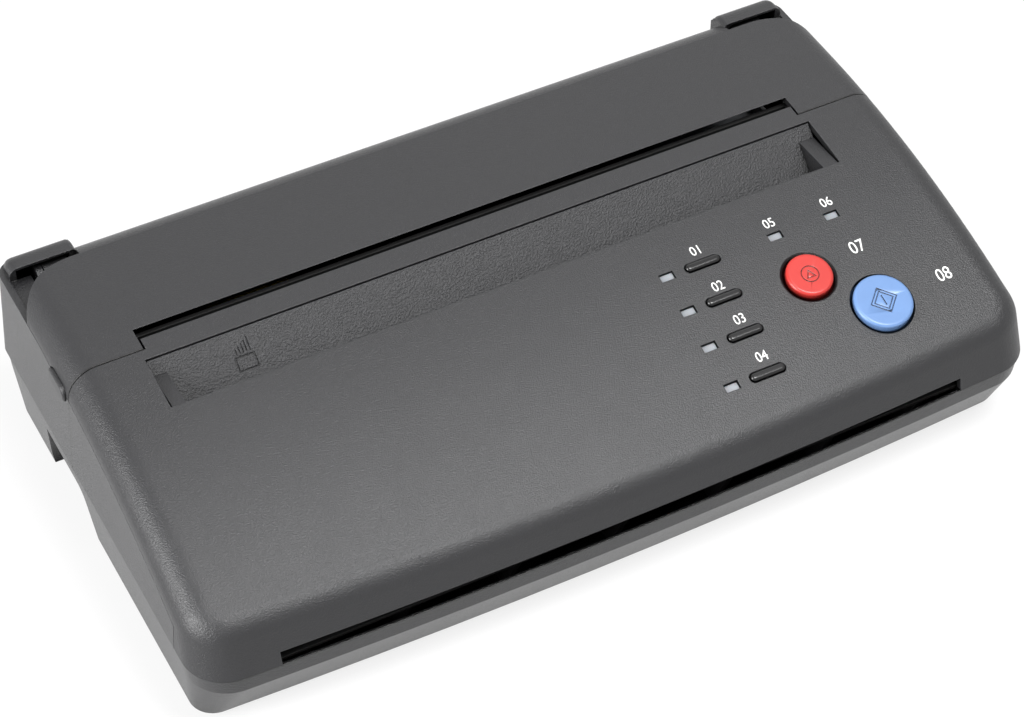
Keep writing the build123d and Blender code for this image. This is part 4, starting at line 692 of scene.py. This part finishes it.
class COPIER_OT_ramp(bpy.types.Operator):
    """Finish the document ramp and engrave its sheet symbol"""

    bl_idname = "copier.ramp"
    bl_label = "Document ramp"

    def execute(self, context):
        looks = context.scene.copier_looks
        coarse = spark_eroded_abs("abs_coarse_spark_eroded", tuple(looks.casing_colour), looks.ramp_grain,
                                  0.16 * MM, 0.5, looks.edge_round, 0.6)
        middle = surface_point("document_ramp", (*RAMP_SIGN_AT, 2 * TOP_HEIGHT), (0, 0, -1))
        line = looks.symbol_line
        sheet = [(-SHEET_HALF, SHEET_LOW), (SHEET_HALF, SHEET_LOW),
                 (SHEET_HALF, SHEET_HIGH), (-SHEET_HALF, SHEET_HIGH)]
        lines = [closed_line(sheet, 1.4 * line)]
        for i in range(RISING_LINES):
            x = (i - (RISING_LINES - 1) / 2) * RISING_PITCH
            top = FIRST_RISING_TOP + i * RISING_STEP
            lines.append(bar((x, RISING_FOOT), (x, top), line))
        engraved("document_ramp_engraved", "document_ramp", lines, tilted_plane(middle, RAMP_ANGLE),
                 1.3 * looks.symbol_depth, coarse)
        return {"FINISHED"}


class COPIER_OT_keys(bpy.types.Operator):
    """Finish the mode keys and the indicator windows"""

    bl_idname = "copier.keys"
    bl_label = "Keys and windows"

    def execute(self, context):
        keys = polished_abs("abs_black_polished", linear("060607"), 0.2, 0.25 * MM)
        give(keys, "mode_key_1", "mode_key_2", "mode_key_3", "mode_key_4", "power_switch_rocker")
        give(frosted_polycarbonate("polycarbonate_frosted", linear("8c9095")), "indicator_windows")
        return {"FINISHED"}


class COPIER_OT_buttons(bpy.types.Operator):
    """Finish the stop and copy buttons and engrave their symbols"""

    bl_idname = "copier.buttons"
    bl_label = "Stop and copy buttons"

    def execute(self, context):
        looks = context.scene.copier_looks
        line, depth = looks.symbol_line, looks.symbol_depth
        red = polished_abs("abs_red_satin", tuple(looks.stop_colour), 0.34, 0.3 * MM)
        blue = polished_abs("abs_blue_satin", tuple(looks.copy_colour), 0.34, 0.3 * MM)
        stop_lines = [ring_outline(STOP_RING, STOP_RING - line, 48), closed_line(STOP_TRIANGLE, line)]
        copy_lines = [bar((0, -COPY_BAR_HALF), (0, COPY_BAR_HALF), 1.2 * line)]
        for reach in (DIAMOND_OUTER, DIAMOND_INNER):
            copy_lines.append(closed_line([(0, -reach), (reach, 0), (0, reach), (-reach, 0)], line))
        for name, node_name, y, lines, material in (
                ("stop_button_engraved", "stop_button", STOP_Y, stop_lines, red),
                ("copy_button_engraved", "copy_button", COPY_Y, copy_lines, blue)):
            low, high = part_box(node_name)
            normal = Vector((0, -math.sin(PANEL_TILT), math.cos(PANEL_TILT)))
            seat = Vector(((low.x + high.x) / 2, y, top_height(y)))
            crown = surface_point(node_name, seat + ABOVE_BUTTON * normal, -normal)
            engraved(name, node_name, lines, tilted_plane(crown, PANEL_TILT), depth, material)
        return {"FINISHED"}


class COPIER_OT_numbers(bpy.types.Operator):
    """Print the plain numbers on the operation panel"""

    bl_idname = "copier.numbers"
    bl_label = "Printed numbers"

    def execute(self, context):
        looks = context.scene.copier_looks
        ink = pad_printed_ink("ink_pad_printed", tuple(looks.ink_colour))
        shape = bmesh.new()
        for text, (x, y, scale) in NUMBERS_AT.items():
            x, y = x * MM, y * MM
            curve = bpy.data.curves.new("number", "FONT")
            curve.body = text
            curve.size = looks.number_height * scale / DIGIT_SHARE
            curve.align_x = "CENTER"
            curve.align_y = "CENTER"
            curve.extrude = INK_HEIGHT
            mesh = finished(working_object("number", curve))
            mesh.transform(Matrix.Diagonal((DIGIT_WIDTH, 1, 1, 1)))
            tilt = math.asin((TOP_FLAT_Y - y) / TOP_RADIUS)
            mesh.transform(tilted_plane(Vector((x, y, top_height(y))), tilt))
            shape.from_mesh(mesh)
        mesh = bpy.data.meshes.new("printed_numbers")
        shape.to_mesh(mesh)
        shape.free()
        mesh.materials.append(ink)
        add_piece("printed_numbers", mesh, "indicator_windows")
        return {"FINISHED"}


class COPIER_OT_screws(bpy.types.Operator):
    """Finish the screws, springs, pins and studs"""

    bl_idname = "copier.screws"
    bl_label = "Screws and springs"

    def execute(self, context):
        zinc = zinc_plate("steel_zinc_plated_screw", linear("c0c1c4"), 0.3, 1.5 * MM)
        give(zinc, "small_screws", "motor_screws")
        self.fit_casing_screws(context.scene.copier_looks, zinc)
        wire = turned_steel("steel_spring_wire", linear("a9aaad"), 0.32)
        give(wire, "release_tab_springs")
        self.fit_head_springs(wire)
        give(turned_steel("steel_ground_pin", linear("b9babd"), 0.25), "hinge_pins", "gear_studs")
        return {"FINISHED"}

    def fit_head_springs(self, wire):
        """A smooth copy, with a mesh of its own, of the print head's springs, which in the machine shorten as
        the head goes down.
        """
        mesh = smooth(welded("head_springs"), 40)
        mesh.materials.clear()
        mesh.materials.append(wire)
        piece = add_piece("head_springs_loaded", mesh, "head_springs")
        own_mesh(piece)
        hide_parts("head_springs")

    def fit_casing_screws(self, looks, zinc):
        """Pan-head screws with thread and cross recess where the plain casing screws stand."""
        tree = screw_tree()
        seats = {}
        for _, low, high in islands(welded("casing_screws")):
            seat = Vector(((low.x + high.x) / 2, (low.y + high.y) / 2, low.z + HEAD_HEIGHT))
            seats.setdefault(round(high.z - seat.z, 5), []).append(seat)
        shape = bmesh.new()
        for length, places in seats.items():
            points = bpy.data.meshes.new("screw_seats")
            points.from_pydata(places, [], [])
            blank = working_object("screws", points)
            maker = blank.modifiers.new("Screws", "NODES")
            maker.node_group = tree
            sizes = {"Head radius": HEAD_RADIUS, "Head height": HEAD_HEIGHT, "Shank radius": SHANK_RADIUS,
                     "Length": length, "Thread pitch": looks.thread_pitch, "Thread depth": looks.thread_depth,
                     "Finish": zinc}
            for item in tree.interface.items_tree:
                if item.item_type == "SOCKET" and item.name in sizes:
                    maker[item.identifier] = sizes[item.name]
            mesh = finished(blank)
            shape.from_mesh(mesh)
        mesh = bpy.data.meshes.new("casing_screws_threaded")
        shape.to_mesh(mesh)
        shape.free()
        mesh.materials.append(zinc)
        piece = add_piece("casing_screws_threaded", smooth(mesh, 40), "casing_screws")
        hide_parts("casing_screws")


def screw_tree():
    """Geometry Nodes that stand a pan-head screw, head below, on each point: +Z is the way it points."""
    tree = bpy.data.node_groups.new("pan_head_screws", "GeometryNodeTree")
    face = tree.interface
    face.new_socket("Geometry", in_out="INPUT", socket_type="NodeSocketGeometry")
    for name in ("Head radius", "Head height", "Shank radius", "Length", "Thread pitch", "Thread depth"):
        face.new_socket(name, in_out="INPUT", socket_type="NodeSocketFloat")
    face.new_socket("Finish", in_out="INPUT", socket_type="NodeSocketMaterial")
    face.new_socket("Geometry", in_out="OUTPUT", socket_type="NodeSocketGeometry")
    given = add_node(tree, "NodeGroupInput").outputs
    down = add_node(tree, "ShaderNodeMath", {"operation": "MULTIPLY"}, {
        0: given["Head height"], 1: -1.0}).outputs[0]
    half = add_node(tree, "ShaderNodeMath", {"operation": "MULTIPLY"}, {0: down, 1: 0.5}).outputs[0]
    shank = grown_disc(tree, given["Shank radius"], given["Length"], 16, 0.0, TIP_SCALE)
    low_head = grown_disc(tree, given["Head radius"], half, 32, 0.0, 1.0)
    crown = grown_disc(tree, given["Head radius"], half, 32, half, CROWN_SCALE)
    head = add_node(tree, "GeometryNodeMeshBoolean", {"operation": "UNION"}, {"Mesh 2": low_head})
    tree.links.new(crown, head.inputs["Mesh 2"])
    recess = add_node(tree, "GeometryNodeMeshBoolean", {"operation": "DIFFERENCE"}, {
        "Mesh 1": head.outputs["Mesh"]})
    blade = add_node(tree, "GeometryNodeMeshCube", None, {"Size": RECESS_SIZE}).outputs["Mesh"]
    place = add_node(tree, "ShaderNodeCombineXYZ", None, {"Z": down}).outputs["Vector"]
    for turn in (0, math.pi / 2):
        set_blade = add_node(tree, "GeometryNodeTransform", None, {
            "Geometry": blade, "Translation": place, "Rotation": (0, 0, turn)})
        tree.links.new(set_blade.outputs["Geometry"], recess.inputs["Mesh 2"])
    turns = add_node(tree, "ShaderNodeMath", {"operation": "DIVIDE"}, {
        0: given["Length"], 1: given["Thread pitch"]}).outputs[0]
    spiral = add_node(tree, "GeometryNodeCurveSpiral", None, {
        "Resolution": 14, "Rotations": turns, "Start Radius": given["Shank radius"],
        "End Radius": given["Shank radius"], "Height": given["Length"]}).outputs["Curve"]
    ridge = add_node(tree, "GeometryNodeCurvePrimitiveCircle", None, {
        "Resolution": 3, "Radius": given["Thread depth"]}).outputs["Curve"]
    thread = add_node(tree, "GeometryNodeCurveToMesh", None, {
        "Curve": spiral, "Profile Curve": ridge, "Fill Caps": True}).outputs["Mesh"]
    screw = add_node(tree, "GeometryNodeJoinGeometry")
    for part in (thread, recess.outputs["Mesh"], shank):
        tree.links.new(part, screw.inputs["Geometry"])
    stood = add_node(tree, "GeometryNodeInstanceOnPoints", None, {
        "Points": given["Geometry"], "Instance": screw.outputs["Geometry"]}).outputs["Instances"]
    real = add_node(tree, "GeometryNodeRealizeInstances", None, {"Geometry": stood}).outputs["Geometry"]
    dressed = add_node(tree, "GeometryNodeSetMaterial", None, {
        "Geometry": real, "Material": given["Finish"]}).outputs["Geometry"]
    result = add_node(tree, "NodeGroupOutput")
    tree.links.new(dressed, result.inputs["Geometry"])
    return tree


def grown_disc(tree, radius, height, sides, start, end_scale):
    """A round closed block from a disc at height start, its far end scaled."""
    circle = add_node(tree, "GeometryNodeMeshCircle", {"fill_type": "NGON"}, {
        "Vertices": sides, "Radius": radius}).outputs["Mesh"]
    lift = add_node(tree, "ShaderNodeCombineXYZ", None, {"Z": start}).outputs["Vector"]
    disc = add_node(tree, "GeometryNodeTransform", None, {
        "Geometry": circle, "Translation": lift}).outputs["Geometry"]
    away = add_node(tree, "ShaderNodeCombineXYZ", None, {"Z": height}).outputs["Vector"]
    grown = add_node(tree, "GeometryNodeExtrudeMesh", None, {
        "Mesh": disc, "Offset": away, "Individual": False})
    end = add_node(tree, "GeometryNodeScaleElements", None, {
        "Geometry": grown.outputs["Mesh"], "Selection": grown.outputs["Top"], "Scale": end_scale})
    closed = add_node(tree, "GeometryNodeJoinGeometry")
    turned = add_node(tree, "GeometryNodeFlipFaces", None, {"Mesh": disc}).outputs["Mesh"]
    tree.links.new(end.outputs["Geometry"], closed.inputs["Geometry"])
    tree.links.new(turned, closed.inputs["Geometry"])
    return add_node(tree, "GeometryNodeMergeByDistance", None, {
        "Geometry": closed.outputs["Geometry"], "Distance": 0.001 * MM}).outputs["Geometry"]


class COPIER_OT_rollers(bpy.types.Operator):
    """Finish the rollers and their shafts"""

    bl_idname = "copier.rollers"
    bl_label = "Rollers"

    def execute(self, context):
        give(turned_steel("steel_ground_shaft", linear("bcbdc0"), 0.24),
             "platen_shaft", "feed_shaft", "exit_shaft", "motor_shaft")
        give(ground_rubber("rubber_silicone_ground", linear("5c5d60")),
             "platen_rubber", "feed_sleeves", "exit_rings")
        give(moulded_rubber("rubber_cork_pad", linear("4a4644"), 0.7 * MM, 0.8), "separation_pad")
        give(moulded_acetal("acetal_roller", linear("dcdad2")),
             "pinch_roller", "backing_roller", "roller_bushes")
        return {"FINISHED"}


class COPIER_OT_drive(bpy.types.Operator):
    """Finish the gears, the motor and the side plates"""

    bl_idname = "copier.drive"
    bl_label = "Drive"

    def execute(self, context):
        give(moulded_acetal("acetal_gear", linear("ece9df")), "platen_gear", "feed_gear", "exit_gear",
             "rear_idler_gear", "middle_idler_gear", "front_idler_gear", "motor_pinion")
        give(zinc_plate("steel_zinc_plated_sheet", linear("b6b8b9"), 0.36, 5 * MM), "side_plate_left",
             "side_plate_right", "upper_paper_guide", "head_carrier")
        give(zinc_plate("steel_motor_can", linear("77787b"), 0.42, 2 * MM), "drive_motor")
        return {"FINISHED"}


class COPIER_OT_heads(bpy.types.Operator):
    """Finish the print head and the image sensor"""

    bl_idname = "copier.heads"
    bl_label = "Print head and sensor"

    def execute(self, context):
        give(fired_glaze("glaze_fired_ceramic", linear("d8cfbc")), "print_head")
        give(extruded_aluminium("aluminium_extruded", linear("c9cacd")), "head_heat_sink")
        give(polished_abs("abs_sensor_black", linear("141415"), 0.45, 0.2 * MM),
             "image_sensor", "document_flag", "key_switches")
        give(float_glass("glass_float", linear("e6f2ec")), "sensor_glass")
        return {"FINISHED"}


class COPIER_OT_electrics(bpy.types.Operator):
    """Finish the boards, the mains inlet and the power switch"""

    bl_idname = "copier.electrics"
    bl_label = "Electrics"

    def execute(self, context):
        nylon = spark_eroded_abs("nylon_glass_filled", linear("1d1d1f"), 0.4 * MM, 0.02 * MM, 0.42, 0.25 * MM)
        give(nylon, "mains_inlet", "power_switch_body")
        board = solder_mask("fibreglass_solder_mask", linear("1d7a45"))
        epoxy = moulded_rubber("epoxy_black_moulded", linear("262628"), 0.3 * MM, 0.6)
        sleeve = polished_abs("sleeve_shrunk_pvc", linear("23252b"), 0.3, 0.3 * MM)
        tape = polished_abs("tape_polyester_yellow", linear("d9b23a"), 0.4, 0.2 * MM)
        for name in ("control_board", "power_board", "main_board"):
            self.dress(name, (board, epoxy, sleeve, tape))
        return {"FINISHED"}

    def dress(self, node_name, materials):
        """A copy of a board in which the flat plate is lacquered and each component has its own finish."""
        mesh = smooth(welded(node_name))
        mesh.materials.clear()
        for material in materials:
            mesh.materials.append(material)
        groups = islands(mesh)
        spans = [(high.x - low.x) * (high.y - low.y) for _, low, high in groups]
        plate = spans.index(max(spans))
        for i, (faces, low, high) in enumerate(groups):
            size = high - low
            if i == plate:
                kind = PLATE
            elif size.z > CAN_SLENDER * max(size.x, size.y) and abs(size.x - size.y) < CAN_ROUND:
                kind = CAN
            elif size.z > TRANSFORMER_HEIGHT:
                kind = TRANSFORMER
            else:
                kind = CHIP
            for face in faces:
                mesh.polygons[face].material_index = kind
        piece = add_piece(f"{node_name}_dressed", mesh, node_name)
        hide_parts(node_name)


class COPIER_OT_stage(bpy.types.Operator):
    """Lay the plain floor, hang the soft boxes and set the camera"""

    bl_idname = "copier.stage"
    bl_label = "Stage"

    def execute(self, context):
        looks = context.scene.copier_looks
        self.lay_floor(tuple(looks.floor_colour))
        self.light_world(context.scene)
        for name, place, aim, size, power in SOFT_BOXES:
            self.hang_soft_box(name, place, aim, size, power * looks.light_level)
        self.set_camera(context.scene)
        context.scene.view_settings.view_transform = "Standard"
        return {"FINISHED"}

    def lay_floor(self, colour):
        """A wide pale floor that shows white to the camera and keeps the machine's shadow."""
        mesh = bpy.data.meshes.new("floor")
        corners = [(x * FLOOR_REACH, y * FLOOR_REACH, 0) for x, y in ((-1, -1), (1, -1), (1, 1), (-1, 1))]
        mesh.from_pydata(corners, [], [(0, 1, 2, 3)])
        material, tree, place, output = new_material("paper_floor_matt")
        matt = add_node(tree, "ShaderNodeBsdfDiffuse", None, {
            "Color": two_tone(tree, noise(tree, place, 30 * MM), colour, 0.004)})
        lit = add_node(tree, "ShaderNodeEmission", None, {"Strength": 1.0})
        share = add_node(tree, "ShaderNodeMath", {"operation": "MULTIPLY"}, {
            0: plain_view(tree), 1: FLOOR_GLOW}).outputs[0]
        mix = add_node(tree, "ShaderNodeMixShader", None, {0: share, 1: matt.outputs[0], 2: lit.outputs[0]})
        tree.links.new(mix.outputs[0], output.inputs["Surface"])
        mesh.materials.append(material)
        working_object("floor", mesh)

    def light_world(self, scene):
        """An even grey surround that shows white where it is seen straight or mirrored."""
        world = bpy.data.worlds.new("studio")
        world.use_nodes = True
        tree = world.node_tree
        tree.nodes.clear()
        share = plain_view(tree)
        strength = add_node(tree, "ShaderNodeMapRange", None, {
            "Value": share, "To Min": SURROUND_LEVEL, "To Max": 1.0})
        sky = add_node(tree, "ShaderNodeBackground", None, {
            "Color": (1, 1, 1, 1), "Strength": strength.outputs["Result"]})
        output = add_node(tree, "ShaderNodeOutputWorld")
        tree.links.new(sky.outputs[0], output.inputs["Surface"])
        scene.world = world

    def hang_soft_box(self, name, place, aim, size, power):
        light = bpy.data.lights.new(name, "AREA")
        light.shape = "RECTANGLE"
        light.size, light.size_y = size
        light.energy = power
        lamp = bpy.data.objects.new(name, light)
        lamp.location = place
        lamp.rotation_euler = (Vector(aim) - Vector(place)).to_track_quat("-Z", "Y").to_euler()
        bpy.context.scene.collection.objects.link(lamp)

    def set_camera(self, scene):
        """The photograph's view: a long lens from the front left, well above the machine."""
        yaw, pitch, roll = (math.radians(a) for a in CAMERA_TURN)
        ahead = Vector((math.sin(yaw) * math.cos(pitch), math.cos(yaw) * math.cos(pitch), -math.sin(pitch)))
        right = Vector((math.cos(yaw), -math.sin(yaw), 0))
        down = ahead.cross(right)
        side = math.cos(roll) * right + math.sin(roll) * down
        up = math.sin(roll) * right - math.cos(roll) * down
        camera = bpy.data.cameras.new("camera")
        camera.lens = CAMERA_LENS
        camera.sensor_width = 36
        camera.sensor_fit = "HORIZONTAL"
        camera.shift_x, camera.shift_y = CAMERA_SHIFT
        camera.clip_start = 0.01
        holder = bpy.data.objects.new("camera", camera)
        turned = Matrix((side, up, -ahead)).transposed().to_4x4()
        holder.matrix_world = Matrix.Translation(CAMERA_PLACE) @ turned
        scene.collection.objects.link(holder)
        scene.camera = holder


def plain_view(tree):
    """1 for camera, mirrored and refracted rays, 0 for those that light the machine."""
    path = add_node(tree, "ShaderNodeLightPath")
    first = add_node(tree, "ShaderNodeMath", {"operation": "MAXIMUM"}, {
        0: path.outputs["Is Camera Ray"], 1: path.outputs["Is Glossy Ray"]}).outputs[0]
    both = add_node(tree, "ShaderNodeMath", {"operation": "MAXIMUM"}, {
        0: first, 1: path.outputs["Is Transmission Ray"]})
    return both.outputs[0]


class COPIER_PT_looks(bpy.types.Panel):
    """Lists the copier's operators and settings"""

    bl_idname = "COPIER_PT_looks"
    bl_label = "Stencil copier"
    bl_space_type = "VIEW_3D"
    bl_region_type = "UI"
    bl_category = "Copier"

    def draw(self, context):
        looks = context.scene.copier_looks
        for name in CopierLooks.__annotations__:
            self.layout.prop(looks, name)
        for operator in OPERATORS:
            self.layout.operator(operator.bl_idname)


OPERATORS = (
    COPIER_OT_casing, COPIER_OT_ramp, COPIER_OT_keys, COPIER_OT_buttons, COPIER_OT_numbers, COPIER_OT_screws,
    COPIER_OT_rollers, COPIER_OT_drive, COPIER_OT_heads, COPIER_OT_electrics, COPIER_OT_stage,
)


def register():
    bpy.utils.register_class(CopierLooks)
    for operator in OPERATORS:
        bpy.utils.register_class(operator)
    bpy.utils.register_class(COPIER_PT_looks)
    bpy.types.Scene.copier_looks = bpy.props.PointerProperty(type=CopierLooks)


def unregister():
    del bpy.types.Scene.copier_looks
    bpy.utils.unregister_class(COPIER_PT_looks)
    for operator in reversed(OPERATORS):
        bpy.utils.unregister_class(operator)
    bpy.utils.unregister_class(CopierLooks)


def main():
    register()
    bpy.ops.copier.casing()
    bpy.ops.copier.ramp()
    bpy.ops.copier.keys()
    bpy.ops.copier.buttons()
    bpy.ops.copier.numbers()
    bpy.ops.copier.screws()
    bpy.ops.copier.rollers()
    bpy.ops.copier.drive()
    bpy.ops.copier.heads()
    bpy.ops.copier.electrics()
    bpy.ops.copier.stage()


if __name__ == "__main__":
    main()
